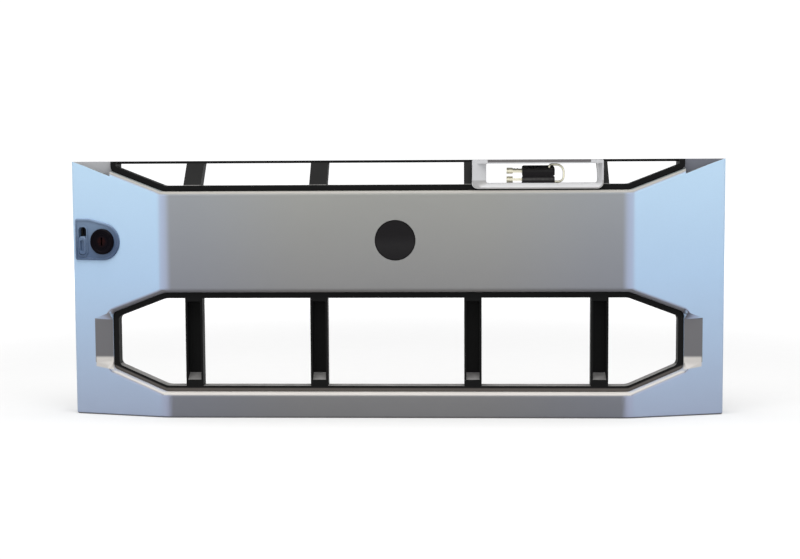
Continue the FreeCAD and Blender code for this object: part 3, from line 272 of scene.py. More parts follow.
def wire_bend(bm, geom, centre, axis, angle, steps, rise=Vector()):
    """Carries the wire round the axis, and along it by the rise of each step."""
    made = bmesh.ops.spin(bm, geom=geom, cent=centre, axis=axis, angle=angle, steps=steps, dvec=rise)
    return made["geom_last"]


def wire_run(bm, geom, step):
    """Carries the wire straight on by the step."""
    edges = [g for g in geom if isinstance(g, bmesh.types.BMEdge)]
    made = bmesh.ops.extrude_edge_only(bm, edges=edges)["geom"]
    verts = [g for g in made if isinstance(g, bmesh.types.BMVert)]
    bmesh.ops.translate(bm, vec=step, verts=verts)
    inner = set(verts)
    return verts + [g for g in made if isinstance(g, bmesh.types.BMEdge) and set(g.verts) <= inner]


def close_wire(bm, joined=False):
    """Joins the wire's two ends to each other, or caps them."""
    if joined:
        bmesh.ops.remove_doubles(bm, verts=bm.verts, dist=1e-5)
    else:
        bmesh.ops.holes_fill(bm, edges=[e for e in bm.edges if e.is_boundary], sides=64)
    bmesh.ops.recalc_face_normals(bm, faces=bm.faces)


# Materials

def tone_of(value):
    """A socket as it is, or a plain colour with its alpha."""
    return value if isinstance(value, bpy.types.NodeSocket) else (*value[:3], 1.0)


class Finish:
    """A procedural material with short ways to add its nodes."""

    def __init__(self, name, roughness=0.5, metallic=0.0, **sockets):
        self.material = bpy.data.materials.new(name)
        self.material.use_nodes = True
        tree = self.material.node_tree
        self.nodes, self.links = tree.nodes, tree.links
        self.shader = self.nodes["Principled BSDF"]
        self.shader.inputs["Roughness"].default_value = roughness
        self.shader.inputs["Metallic"].default_value = metallic
        for socket, value in sockets.items():
            self.shader.inputs[socket.replace("_", " ")].default_value = value
        self.place = self.nodes.new("ShaderNodeTexCoord").outputs["Object"]

    def add(self, kind, settings=None, **inputs):
        node = self.nodes.new(kind)
        for key, value in (settings or {}).items():
            setattr(node, key, value)
        for key, value in inputs.items():
            self.feed(node.inputs[key.replace("_", " ")], value)
        return node

    def feed(self, socket, value):
        if isinstance(value, bpy.types.NodeSocket):
            self.links.new(value, socket)
        else:
            socket.default_value = value

    def math(self, operation, a, b=0.0):
        node = self.add("ShaderNodeMath", {"operation": operation})
        self.feed(node.inputs[0], a)
        self.feed(node.inputs[1], b)
        return node.outputs[0]

    def minus(self, a, b):
        return self.math("SUBTRACT", a, b)

    def size(self, value):
        return self.math("ABSOLUTE", value)

    def times(self, first, *others):
        for other in others:
            first = self.math("MULTIPLY", first, other)
        return first

    def most(self, first, *others):
        for other in others:
            first = self.math("MAXIMUM", first, other)
        return first

    def noise(self, scale, detail=3.0, roughness=0.55, vector=None):
        return self.add("ShaderNodeTexNoise", Vector=vector or self.place, Scale=scale, Detail=detail,
                        Roughness=roughness).outputs["Fac"]

    def span(self, value, low, high, to_low=0.0, to_high=1.0, smooth=False):
        node = self.add("ShaderNodeMapRange", {"interpolation_type": "SMOOTHSTEP" if smooth else "LINEAR"},
                        Value=value, From_Min=low, From_Max=high, To_Min=to_low, To_Max=to_high)
        return node.outputs[0]

    def mix(self, factor, a, b, blend="MIX"):
        node = self.add("ShaderNodeMix", {"data_type": "RGBA", "blend_type": blend})
        self.feed(node.inputs["Factor"], factor)
        self.feed(node.inputs[6], tone_of(a))
        self.feed(node.inputs[7], tone_of(b))
        return node.outputs[2]

    def ramp(self, value, stops):
        node = self.add("ShaderNodeValToRGB", Fac=value)
        elements = node.color_ramp.elements
        while len(elements) < len(stops):
            elements.new(0.5)
        for element, (position, colour) in zip(elements, stops):
            element.position = position
            element.color = tone_of(colour)
        return node.outputs["Color"]

    def axes(self):
        """The place on the object along X, Y and Z."""
        return self.add("ShaderNodeSeparateXYZ", Vector=self.place).outputs

    def lean(self):
        """How far the surface looks along X, Y and Z."""
        normal = self.nodes.new("ShaderNodeNewGeometry").outputs["Normal"]
        return self.add("ShaderNodeSeparateXYZ", Vector=normal).outputs

    def dust_and_top_highlight(self, colour, dust_and_highlight, amount, under):
        """Pale dusting and painted highlight, thin and patchy, on the faces that look up, below the height
        named under.
        """
        return self.mix(self.times(self.span(self.lean()["Z"], 0.55, 0.68, 0.0, amount),
                                   self.span(self.axes()["Z"], under + SOFT_EDGE, under),
                                   self.span(self.noise(90.0, 4.0), 0.3, 0.7, 0.6, 1.0)), colour, dust_and_highlight)

    def tint(self, colour, factor, low, high):
        """The colour made darker or lighter as the factor runs from 0 to 1."""
        shade = self.span(factor, 0.0, 1.0, low, high)
        grey = self.add("ShaderNodeCombineColor", Red=shade, Green=shade, Blue=shade).outputs[0]
        return self.mix(1.0, colour, grey, "MULTIPLY")

    def colour(self, value):
        self.feed(self.shader.inputs["Base Color"], tone_of(value))

    def tone(self):
        """The socket that gives the colour so far."""
        return self.shader.inputs["Base Color"].links[0].from_socket

    def rough(self, low, high, factor):
        self.feed(self.shader.inputs["Roughness"], self.span(factor, 0.3, 0.7, low, high))

    def surface(self, height, distance, edge=0.0, strength=1.0):
        """Bump from a height, on a normal whose edges are eased by the width named edge."""
        inputs = {"Height": height, "Distance": distance, "Strength": strength}
        if edge:
            inputs["Normal"] = self.eased(edge)
        self.feed(self.shader.inputs["Normal"], self.add("ShaderNodeBump", **inputs).outputs[0])

    def eased(self, width):
        """The normal, turned gradually across edges by the width."""
        return self.add("ShaderNodeBevel", {"samples": 6}, Radius=width).outputs[0]

    def worn_edges(self, colour, worn, width, amount):
        """Mixes in the worn tone where the surface turns a corner."""
        true = self.nodes.new("ShaderNodeNewGeometry").outputs["Normal"]
        dot = self.add("ShaderNodeVectorMath", {"operation": "DOT_PRODUCT"})
        self.feed(dot.inputs[0], self.eased(width))
        self.feed(dot.inputs[1], true)
        edge = self.span(dot.outputs["Value"], 0.995, 0.8, 0.0, amount)
        patchy = self.times(edge, self.span(self.noise(260.0, 4.0), 0.42, 0.62))
        return self.mix(patchy, colour, worn)


def paint_reach(f, axes, lean, x_size):
    """1 on the outer skin and on the edges of the window and the notch, 0 on ribs and inside the shell."""
    wing = f.times(f.most(f.minus(x_size, CREASE_X), 0.0), WING_SLOPE)
    depth = f.minus(f.minus(axes["Y"], FASCIA_LOW.y), wing)
    before, past = POCKET_IN - POCKET_CLEAR, POCKET_OUT + POCKET_CLEAR
    off_pocket = f.most(f.span(x_size, before, before - SOFT_EDGE), f.span(x_size, past, past + SOFT_EDGE))
    rib = f.times(f.span(f.size(lean["X"]), 0.93, 0.97), off_pocket)
    mouth = f.times(f.span(depth, SKIN_DEPTH + SOFT_EDGE, SKIN_DEPTH), f.minus(1.0, rib))
    front = f.span(lean["Y"], -0.02, -0.1)
    inner = OUTER_WALL + SOFT_EDGE
    outside = f.most(f.span(x_size, FASCIA_HIGH.x - inner, FASCIA_HIGH.x - OUTER_WALL),
                     f.span(axes["Z"], inner, OUTER_WALL),
                     f.span(axes["Z"], HEIGHT - inner, HEIGHT - OUTER_WALL))
    return f.times(f.most(mouth, front, outside), f.span(lean["Y"], 0.2, 0.05))


def pocket_sill(f, x_size, z):
    """Painted highlight on the foot of the pocket at each end of the window, which looks up."""
    run = f.minus(x_size, POCKET_IN)
    above = f.minus(z, f.math("ADD", f.times(run, POCKET_FOOT_SLANT), POCKET_FOOT))
    return f.times(f.span(run, -0.4 * MM, 0.2 * MM),
                   f.span(x_size, POCKET_OUT + 1.2 * MM, POCKET_OUT, smooth=True),
                   f.span(above, -0.4 * MM, 0.6 * MM, smooth=True),
                   f.span(z, POCKET_FOOT_TOP, POCKET_FOOT_TOP - 2.0 * MM, smooth=True))


def pocket_shade(f, tone, axes, x_size):
    """Painted shade on the pocket's floor and its right shoulder, and painted light on its left shoulder."""
    inside = f.span(x_size, POCKET_IN - 1.0 * MM, POCKET_IN)
    shoulder = f.span(axes["Z"], POCKET_SHOULDER - SHOULDER_HALF, POCKET_SHOULDER + SHOULDER_HALF,
                      smooth=True)
    sides = f.mix(f.span(axes["X"], -1.0 * MM, 1.0 * MM), SHOULDER_LEFT_LIT, SHOULDER_RIGHT_SHADED)
    return f.mix(inside, tone, f.mix(shoulder, POCKET_FLOOR_SHADE, sides), "MULTIPLY")


def silver_paint(paint):
    """Metallic silver, with painted light in its tones: grey on the flat middle, lighter toward the top, pale
    blue on the wings as painted sky reflection, pale on the lips that look up as painted highlight.
    Inside the shell the moulded plastic is bare."""
    f = Finish("Silver paint", paint.roughness, 0.0, Specular_IOR_Level=0.35, Coat_Weight=0.06,
               Coat_Roughness=0.25)
    axes, lean = f.axes(), f.lean()
    x_size = f.size(axes["X"])
    height = f.math("DIVIDE", axes["Z"], HEIGHT)
    # Painted light: the middle's grey is lighter toward the top and darker toward the bottom
    middle = f.ramp(height, [(0.0, paint.middle_low), (0.5, paint.middle_mid), (1.0, paint.middle_top)])
    # Painted reflection: the middle turns bluer toward the creases, then pocket_shade paints shade and light
    # into the pockets
    outward = f.span(x_size, OUTWARD_FROM, OUTWARD_TO, smooth=True)
    middle = pocket_shade(f, f.mix(outward, middle, OUTWARD_REFLECTION_TINT, "MULTIPLY"), axes, x_size)
    # Painted sky reflection: the wings are pale blue, lighter toward the top, and the crease between middle
    # and wing takes a lavender painted reflection
    wing = f.ramp(height, [(0.0, paint.wing_low), (0.55, paint.wing_mid), (1.0, paint.wing_top)])
    side = f.span(f.size(lean["X"]), paint.turn_low, paint.turn_high, smooth=True)
    turning = f.times(side, f.minus(1.0, side), 2.0)
    base = f.mix(turning, f.mix(side, middle, wing), paint.crease)
    # Painted highlight: faces that look up are pale, with a bluer painted reflection on the wings; faces that
    # lean up or down take the middle's tone
    lip = f.mix(height, paint.lip_low, paint.lip_top)
    lip = f.mix(side, lip, f.mix(height, WING_LIP_LOW, WING_LIP_TOP), "MULTIPLY")
    base = f.mix(f.span(f.size(lean["Z"]), 0.25, 0.6, smooth=True), base, middle)
    base = f.mix(f.span(lean["Z"], 0.25, 0.6, smooth=True), base, lip)
    # Painted shade: faces that look down are darker
    base = f.mix(f.span(lean["Z"], -0.25, -0.6, smooth=True), base, UNDERSIDE_SHADE, "MULTIPLY")
    # Painted highlight on the pockets' feet
    base = f.mix(pocket_sill(f, x_size, axes["Z"]), base, paint.lip_low)
    flakes, cloud = f.noise(2600.0, 2.0, 0.6), f.noise(9.0, 3.0)
    base = f.tint(f.tint(base, cloud, 0.96, 1.04), flakes, 0.95, 1.05)
    base = f.worn_edges(base, WORN_SILVER, 0.5 * MM, 0.5)
    bare = f.tint(paint.bare, f.noise(1400.0, 3.0), 0.9, 1.1)
    f.colour(f.mix(paint_reach(f, axes, lean, x_size), bare, base))
    f.rough(paint.roughness - 0.05, paint.roughness + 0.05, cloud)
    f.surface(flakes, 0.02 * MM, 0.3 * MM, 0.35)
    return f


def moulded_plastic(name, colour, roughness, grain=1100.0, depth=0.03, edge=0.25, dust_and_highlight=0.0, rubbed_and_highlit=0.0,
                    **sockets):
    """Moulded plastic with a fine spark-eroded grain, faint flow marks and eased edges."""
    f = Finish(name, roughness, 0.0, **sockets)
    fine, flow = f.noise(grain, 4.0, 0.65), f.noise(26.0, 3.0)
    base = f.tint(f.tint(colour, flow, 0.86, 1.14), fine, 0.93, 1.07)
    # Faces that look up: pale dusting mixed with painted highlight
    if dust_and_highlight:
        base = f.dust_and_top_highlight(base, DUST_AND_HIGHLIGHT_GREY, dust_and_highlight, DUST_AND_HIGHLIGHT_UNDER)
    # Grey corners: edge wear mixed with painted edge highlight
    if rubbed_and_highlit:
        base = f.worn_edges(base, EDGE_WEAR_AND_HIGHLIGHT_GREY, 0.35 * MM, rubbed_and_highlit)
    f.colour(base)
    f.rough(max(roughness - 0.06, 0.02), roughness + 0.06, flow)
    f.surface(fine, depth * MM, edge * MM, 0.5)
    return f


def gloss_disc(plastics):
    """Polished black with a faint orange-peel wave and a few hairlines."""
    f = Finish("Gloss badge", 0.12, 0.0, Specular_IOR_Level=0.14, Coat_Weight=0.06, Coat_Roughness=0.04)
    wave = f.noise(180.0, 2.0)
    f.colour(f.tint(plastics.badge_black, wave, 0.8, 1.2))
    hair = f.add("ShaderNodeMapping", Vector=f.place, Rotation=(0.0, 0.6, 0.0), Scale=(40.0, 40.0, 2400.0))
    f.rough(0.07, 0.13, f.noise(1.0, 2.0, vector=hair.outputs[0]))
    f.surface(wave, 0.02 * MM, 0.0, 0.25)
    return f


def plated_steel(name, colour, roughness, brushed):
    """Zinc-plated steel: bright, a little mottled, with marks drawn along its height."""
    f = Finish(name, roughness, 1.0)
    stretch = f.add("ShaderNodeMapping", Vector=f.place, Scale=(brushed, brushed, brushed * 0.03)).outputs[0]
    lines = f.noise(1.0, 3.0, vector=stretch)
    base = f.tint(colour, f.noise(140.0, 3.0), 0.85, 1.1)
    f.colour(f.tint(base, lines, 0.94, 1.06))
    f.rough(roughness - 0.07, roughness + 0.1, lines)
    f.surface(lines, 0.01 * MM, 0.15 * MM, 0.3)
    return f


def lock_enamel(plastics):
    """Black enamel of the lock's face, with a brown glow of worn metal round the keyway."""
    f = Finish("Lock enamel", 0.3, 0.0, Specular_IOR_Level=0.03)
    from_axis = f.add("ShaderNodeVectorMath", {"operation": "DISTANCE"})
    f.feed(from_axis.inputs[0], f.place)
    f.feed(from_axis.inputs[1], LOCK_CENTRE + LOCK_AXIS * 2.0 * MM)
    near = f.span(from_axis.outputs["Value"], 4.4 * MM, 1.2 * MM, smooth=True)
    specks = f.noise(900.0, 4.0, 0.7)
    f.colour(f.mix(f.times(near, f.span(specks, 0.35, 0.7)), plastics.lock_black, KEYWAY_GLOW))
    f.rough(0.24, 0.38, specks)
    f.surface(specks, 0.02 * MM, 0.2 * MM, 0.3)
    return f


# Pieces

class BEZEL_OT_fascia(bpy.types.Operator):
    """Paint the moulded fascia"""

    bl_idname = "bezel.fascia"
    bl_label = "Fascia"

    def execute(self, context):
        finished_copy("fascia", "base", silver_paint(context.scene.bezel_paint), 40.0)
        return {"FINISHED"}


class BEZEL_OT_inner_frame(bpy.types.Operator):
    """Finish the black inner frame with its uprights and rails"""

    bl_idname = "bezel.inner_frame"
    bl_label = "Inner frame"

    def execute(self, context):
        plastics = context.scene.bezel_plastics
        black = self.frame_plastic(plastics)
        finished_copy("inner_frame", "base", black)
        finished_copy("latch_guide", "base", black)
        return {"FINISHED"}

    def frame_plastic(self, plastics):
        """Black, with a soft grey sheen along the outer half of the runs below the window."""
        # Faces that look up get pale dusting mixed with painted highlight
        f = moulded_plastic("Black frame plastic", plastics.frame_black, 0.55, 1500.0, 0.03, 0.35,
                            dust_and_highlight=0.55, rubbed_and_highlit=0.05, Specular_IOR_Level=0.06)
        axes = f.axes()
        past = f.most(f.minus(f.size(axes["X"]), CREASE_X), 0.0)
        above = f.minus(f.minus(axes["Z"], WINDOW_BOTTOM), f.times(past, WINDOW_SLANT))
        highlight_band = f.times(f.span(above, SHEEN_WIDTH, SHEEN_WIDTH - 1.0 * MM, smooth=True),
                       f.span(f.lean()["Y"], -0.6, -0.9),
                       f.span(axes["Z"], WINDOW_MIDDLE - 14 * MM, WINDOW_MIDDLE - 18 * MM), 0.9)
        f.colour(f.mix(highlight_band, f.tone(), SHEEN_GREY))
        return f


class BEZEL_OT_badge(bpy.types.Operator):
    """Turn the domed badge disc with its studs and push nuts"""

    bl_idname = "bezel.badge"
    bl_label = "Badge"

    def execute(self, context):
        pieces, plastics = context.scene.bezel_pieces, context.scene.bezel_plastics
        radius = (BADGE_HIGH.x - BADGE_LOW.x) / 2
        front = Vector((0, BADGE_LOW.y, (BADGE_LOW.z + BADGE_HIGH.z) / 2))
        backward = Vector((0, 1, 0))
        edge, rise, steps = pieces.badge_edge, pieces.badge_rise, 12
        inner = radius - edge
        dome = [(inner * k / steps, rise * (k / steps) ** 2) for k in range(steps + 1)]
        rim = [(inner + edge * math.sin(a), rise + edge * (1 - math.cos(a)))
               for a in (math.radians(15 * k) for k in range(1, 7))]
        bm = bmesh.new()
        turned(bm, dome + rim + [(radius, BADGE_THICK), (0.0, BADGE_THICK)], front, backward, 96)
        stud = [(0, 0), (STUD_RADIUS, 0), (STUD_RADIUS, STUD_LENGTH - STUD_TIP),
                (STUD_RADIUS - STUD_TIP, STUD_LENGTH), (0, STUD_LENGTH)]
        for side in (-1, 1):
            turned(bm, stud, front + Vector((side * STUD_FROM_MIDDLE, 1.5 * MM, 0)), backward, 24)
        place(bm, "badge_disc", "base", gloss_disc(plastics), ["badge"])
        steel = plated_steel("Clip steel", plastics.steel, 0.32, 900.0)
        finished_copy("badge_clips", "base", steel)
        return {"FINISHED"}


class BEZEL_OT_display(bpy.types.Operator):
    """Finish the light display frame"""

    bl_idname = "bezel.display"
    bl_label = "Display frame"

    def execute(self, context):
        plastics = context.scene.bezel_plastics
        finished_copy("display_frame", "base", self.light_plastic(plastics))
        return {"FINISHED"}

    def light_plastic(self, plastics):
        """Light grey, greyer on the bottom bar's front, with a dark strip along the top bar."""
        f = moulded_plastic("Light display plastic", plastics.display_grey, 0.4, 1300.0, 0.02, 0.3)
        axes, soft = f.axes(), 0.3 * MM
        strip = f.times(f.span(axes["X"], STRIP_LEFT - soft, STRIP_LEFT),
                        f.span(axes["X"], STRIP_RIGHT + soft, STRIP_RIGHT),
                        f.span(axes["Z"], STRIP_UNDER - soft, STRIP_UNDER))
        foot = f.times(f.span(f.lean()["Y"], -0.6, -0.9),
                       f.span(axes["Z"], DISPLAY_SILL + 1.2 * MM, DISPLAY_SILL, smooth=True))
        tone = f.mix(strip, f.mix(foot, plastics.display_grey, DISPLAY_FOOT_GREY), plastics.strip_grey)
        f.colour(f.tint(f.tint(tone, f.noise(26.0, 3.0), 0.92, 1.08), f.noise(1300.0, 4.0, 0.65), 0.95, 1.05))
        return f


class BEZEL_OT_keys(bpy.types.Operator):
    """Finish the two keys and bend the wire loop that ties them"""

    bl_idname = "bezel.keys"
    bl_label = "Keys"

    def execute(self, context):
        pieces, plastics = context.scene.bezel_pieces, context.scene.bezel_plastics
        blade = plated_steel("Key metal", plastics.brass, 0.3, 700.0)
        for which in HEAD_HIGHLIGHT_BANDS:
            finished_copy("key_head_" + which, "base", self.head_plastic(plastics, which))
            finished_copy("key_blade_" + which, "base", blade)
        self.loop(pieces.ring_wire, blade)
        return {"FINISHED"}

    def head_plastic(self, plastics, which):
        """Black, with a painted highlight along the middle of the head, and grey edges of wear mixed with
        painted highlight.
        """
        f = moulded_plastic("Key head, " + which, plastics.key_black, 0.5, 1900.0, 0.02, 0.4, rubbed_and_highlit=0.14,
                            Specular_IOR_Level=0.06)
        low, high = (corner.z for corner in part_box("key_head_" + which))
        tall = high - low
        # Painted highlight: a patchy lighter stripe about the head's middle height
        off = f.size(f.minus(f.axes()["Z"], low + tall * 0.55))
        highlight_band = f.times(f.span(off, tall * 0.24, tall * 0.10, smooth=True),
                       f.span(f.noise(420.0, 4.0), 0.3, 0.6, 0.5, 1.0))
        f.colour(f.mix(highlight_band, f.tone(), HEAD_HIGHLIGHT_BANDS[which]))
        return f

    def loop(self, wire, finish):
        """Closed loop in the plane y = middle, with a wide bend at its upper outer corner."""
        r, middle = wire / 2, (RING_LOW.y + RING_HIGH.y) / 2
        x0, x1, z0, z1 = RING_LOW.x + r, RING_HIGH.x - r, RING_LOW.z + r, RING_HIGH.z - r
        corners = ((x1, z0, 1, -1, RING_FOOT), (x1, z1, 1, 1, RING_WIDE),
                   (x0, z1, -1, 1, RING_TIGHT), (x0, z0, -1, -1, RING_TIGHT))
        forward, outward = Vector((0, -1, 0)), Vector((0, 0, -1))
        quarter = Matrix.Rotation(math.pi / 2, 3, forward)
        bm = bmesh.new()
        here = Vector((x0 + RING_TIGHT, middle, z0))
        geom = wire_start(bm, here, Vector((1, 0, 0)), r)
        for x, z, side, end, bend in corners:
            centre = Vector((x - side * bend, middle, z - end * bend))
            geom = wire_run(bm, geom, centre + outward * bend - here)
            geom = wire_bend(bm, geom, centre, forward, math.pi / 2, 8)
            outward = quarter @ outward
            here = centre + outward * bend
        close_wire(bm, joined=True)
        place(bm, "key_loop", "base", finish, ["key_ring"])


class BEZEL_OT_lock(bpy.types.Operator):
    """Finish the pod, the lock and the parts behind it"""

    bl_idname = "bezel.lock"
    bl_label = "Lock"

    def execute(self, context):
        plastics = context.scene.bezel_plastics
        pod, enamel = self.pod_plastic(plastics), lock_enamel(plastics)
        steel = plated_steel("Lock steel", plastics.steel, 0.3, 800.0)
        finished_copy("lock_pod", "base", pod)
        finished_copy("release_latch", "latch", pod)
        finished_copy("lock_barrel", "base", enamel)
        finished_copy("lock_plug", "lock", enamel)
        finished_copy("lock_nut", "base", steel)
        finished_copy("lock_cam", "lock", steel)
        return {"FINISHED"}

    def pod_plastic(self, plastics):
        """Dark plastic with a painted blue sky reflection, lighter toward the top of the plate as painted
        light, and darker beyond the lock.
        """
        f = moulded_plastic("Pod plastic", plastics.pod_low, 0.4, 1400.0, 0.02, 0.3, Specular_IOR_Level=0.35)
        axes = f.axes()
        fade_from = POD_LOW.z + 0.15 * (POD_HIGH.z - POD_LOW.z)
        rise = f.span(axes["Z"], fade_from, POD_HIGH.z, smooth=True)
        beyond = f.span(axes["X"], LOCK_CENTRE.x, POD_HIGH.x - 1.0 * MM, smooth=True)
        tone = f.mix(beyond, f.mix(rise, plastics.pod_low, plastics.pod_top), POD_TINT, "MULTIPLY")
        fine, flow = f.noise(1400.0, 4.0, 0.65), f.noise(26.0, 3.0)
        tone = f.tint(f.tint(tone, flow, 0.9, 1.1), fine, 0.94, 1.06)
        f.colour(f.worn_edges(tone, POD_WORN, 0.35 * MM, 0.4))
        return f


class BEZEL_OT_latch(bpy.types.Operator):
    """Finish the latch slide and the hook plate, and wind the spring"""

    bl_idname = "bezel.latch"
    bl_label = "Latch"

    def execute(self, context):
        pieces, plastics = context.scene.bezel_pieces, context.scene.bezel_plastics
        steel = plated_steel("Latch steel", plastics.steel, 0.34, 600.0)
        finished_copy("latch_slide", "latch", self.slide_steel(plastics))
        finished_copy("right_hook_plate", "base", steel)
        self.spring(pieces.spring_wire, pieces.spring_turns,
                    plated_steel("Spring steel", SPRING_GREY, 0.28, 900.0))
        return {"FINISHED"}

    def slide_steel(self, plastics):
        """Plated steel, with painted shade where it looks out at the front through the pod's slot."""
        f = plated_steel("Slide steel", plastics.steel, 0.34, 600.0)
        # Front-facing faces take the painted shade
        f.colour(f.mix(f.span(f.lean()["Y"], -0.3, -0.6), f.tone(), SLOT_SHADE))
        return f

    def spring(self, wire, turns, finish):
        """Compression spring with one closed turn at each end."""
        up = Vector((0, 0, 1))
        centre = (SPRING_LOW + SPRING_HIGH) / 2
        coil = min((SPRING_HIGH.x - SPRING_LOW.x - wire) / 2, COIL_RADIUS)
        low = Vector((centre.x, centre.y, SPRING_LOW.z + wire / 2))
        closed = wire * 1.04
        open_rise = SPRING_HIGH.z - SPRING_LOW.z - wire - 2 * closed
        bm = bmesh.new()
        geom = wire_start(bm, low + Vector((coil, 0, 0)), Vector((0, 1, 0)), wire / 2, 10)
        for rise, count in ((closed, 1), (open_rise, turns), (closed, 1)):
            steps = COIL_STEPS * count
            geom = wire_bend(bm, geom, low, up, 2 * math.pi * count, steps, up * (rise / steps))
        close_wire(bm)
        spring = place(bm, "spring_coil", "base", finish, ["latch_spring"])
        spring.modifiers.clear()
        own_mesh(spring)


class BEZEL_OT_screws(bpy.types.Operator):
    """Turn the screws, with rounded heads and cross recesses"""

    bl_idname = "bezel.screws"
    bl_label = "Screws"

    def execute(self, context):
        pieces, plastics = context.scene.bezel_pieces, context.scene.bezel_plastics
        steel = plated_steel("Screw steel", plastics.steel, 0.3, 1200.0)
        groups = {
            "frame_screws": ("base", Vector((0, 1, 0))),
            "display_frame_screws": ("base", Vector((0, 1, 0))),
            "latch_guide_screws": ("base", -LOCK_AXIS),
            "right_hook_screws": ("base", Vector((LOCK_AXIS.x, -LOCK_AXIS.y, 0))),
            "cam_screw": ("lock", -LOCK_AXIS),
        }
        for node, (body, axis) in groups.items():
            bm = bmesh.new()
            for island in self.islands(node):
                self.screw(bm, island, axis, pieces.screw_recess)
            place(bm, node + "_turned", body, steel, [node])
        return {"FINISHED"}

    def islands(self, node):
        """The corner points of each separate screw in a solid part."""
        bm = merged(node)
        left, found = set(bm.verts), []
        while left:
            stack, island = [left.pop()], []
            while stack:
                vert = stack.pop()
                island.append(vert.co.copy())
                for edge in vert.link_edges:
                    other = edge.other_vert(vert)
                    if other in left:
                        left.remove(other)
                        stack.append(other)
            found.append(island)
        bm.free()
        return found

    def screw(self, bm, points, axis, recess):
        """One screw, as long and as wide as the solid one whose corner points are given."""
        heights = [p.dot(axis) for p in points]
        top, bottom = max(heights), min(heights)
        middle = sum(points, Vector()) / len(points)
        foot = middle - axis * (middle.dot(axis))
        radii = [(p - foot - axis * h).length for h, p in zip(heights, points)]
        radius, shank = max(radii), min(radii)
        seat = min(h for h, r in zip(heights, radii) if r > shank * 1.2)
        high = top - seat
        bend = high * 0.45
        round_top = [(radius - bend * (1 - math.cos(a)), top - bend * (1 - math.sin(a)))
                     for a in (math.radians(22.5 * k) for k in range(5))]
        profile = [(0.0, bottom), (shank * 0.7, bottom), (shank, bottom + 0.5 * MM), (shank, seat),
                   (radius, seat)] + round_top + [(recess, top)]
        turned(bm, profile, foot, axis, 32)
        self.cross_recess(bm, foot + axis * top, axis, recess * 0.92, min(1.1 * MM, high * 0.6))

    def cross_recess(self, bm, centre, axis, reach, deep):
        """Sinks a tapered cross into the open middle of the head."""
        rim = [e for e in bm.edges if e.is_boundary]
        cross = bmesh.ops.create_circle(bm, cap_ends=False, segments=12, radius=reach,
                                        matrix=Matrix.Translation(centre) @ turn_to(axis))["verts"]
        for vert in cross[::3]:
            vert.co = centre + (vert.co - centre) * 0.42
        loop = list({e for v in cross for e in v.link_edges})
        bmesh.ops.bridge_loops(bm, edges=rim + loop)
        sunk = wire_run(bm, cross + loop, -axis * deep)
        floor = [g for g in sunk if isinstance(g, bmesh.types.BMVert)]
        middle = sum((v.co for v in floor), Vector()) / len(floor)
        for vert in floor:
            vert.co = middle + (vert.co - middle) * 0.6
        bmesh.ops.holes_fill(bm, edges=[e for e in bm.edges if e.is_boundary], sides=16)
        bmesh.ops.recalc_face_normals(bm, faces=bm.faces)


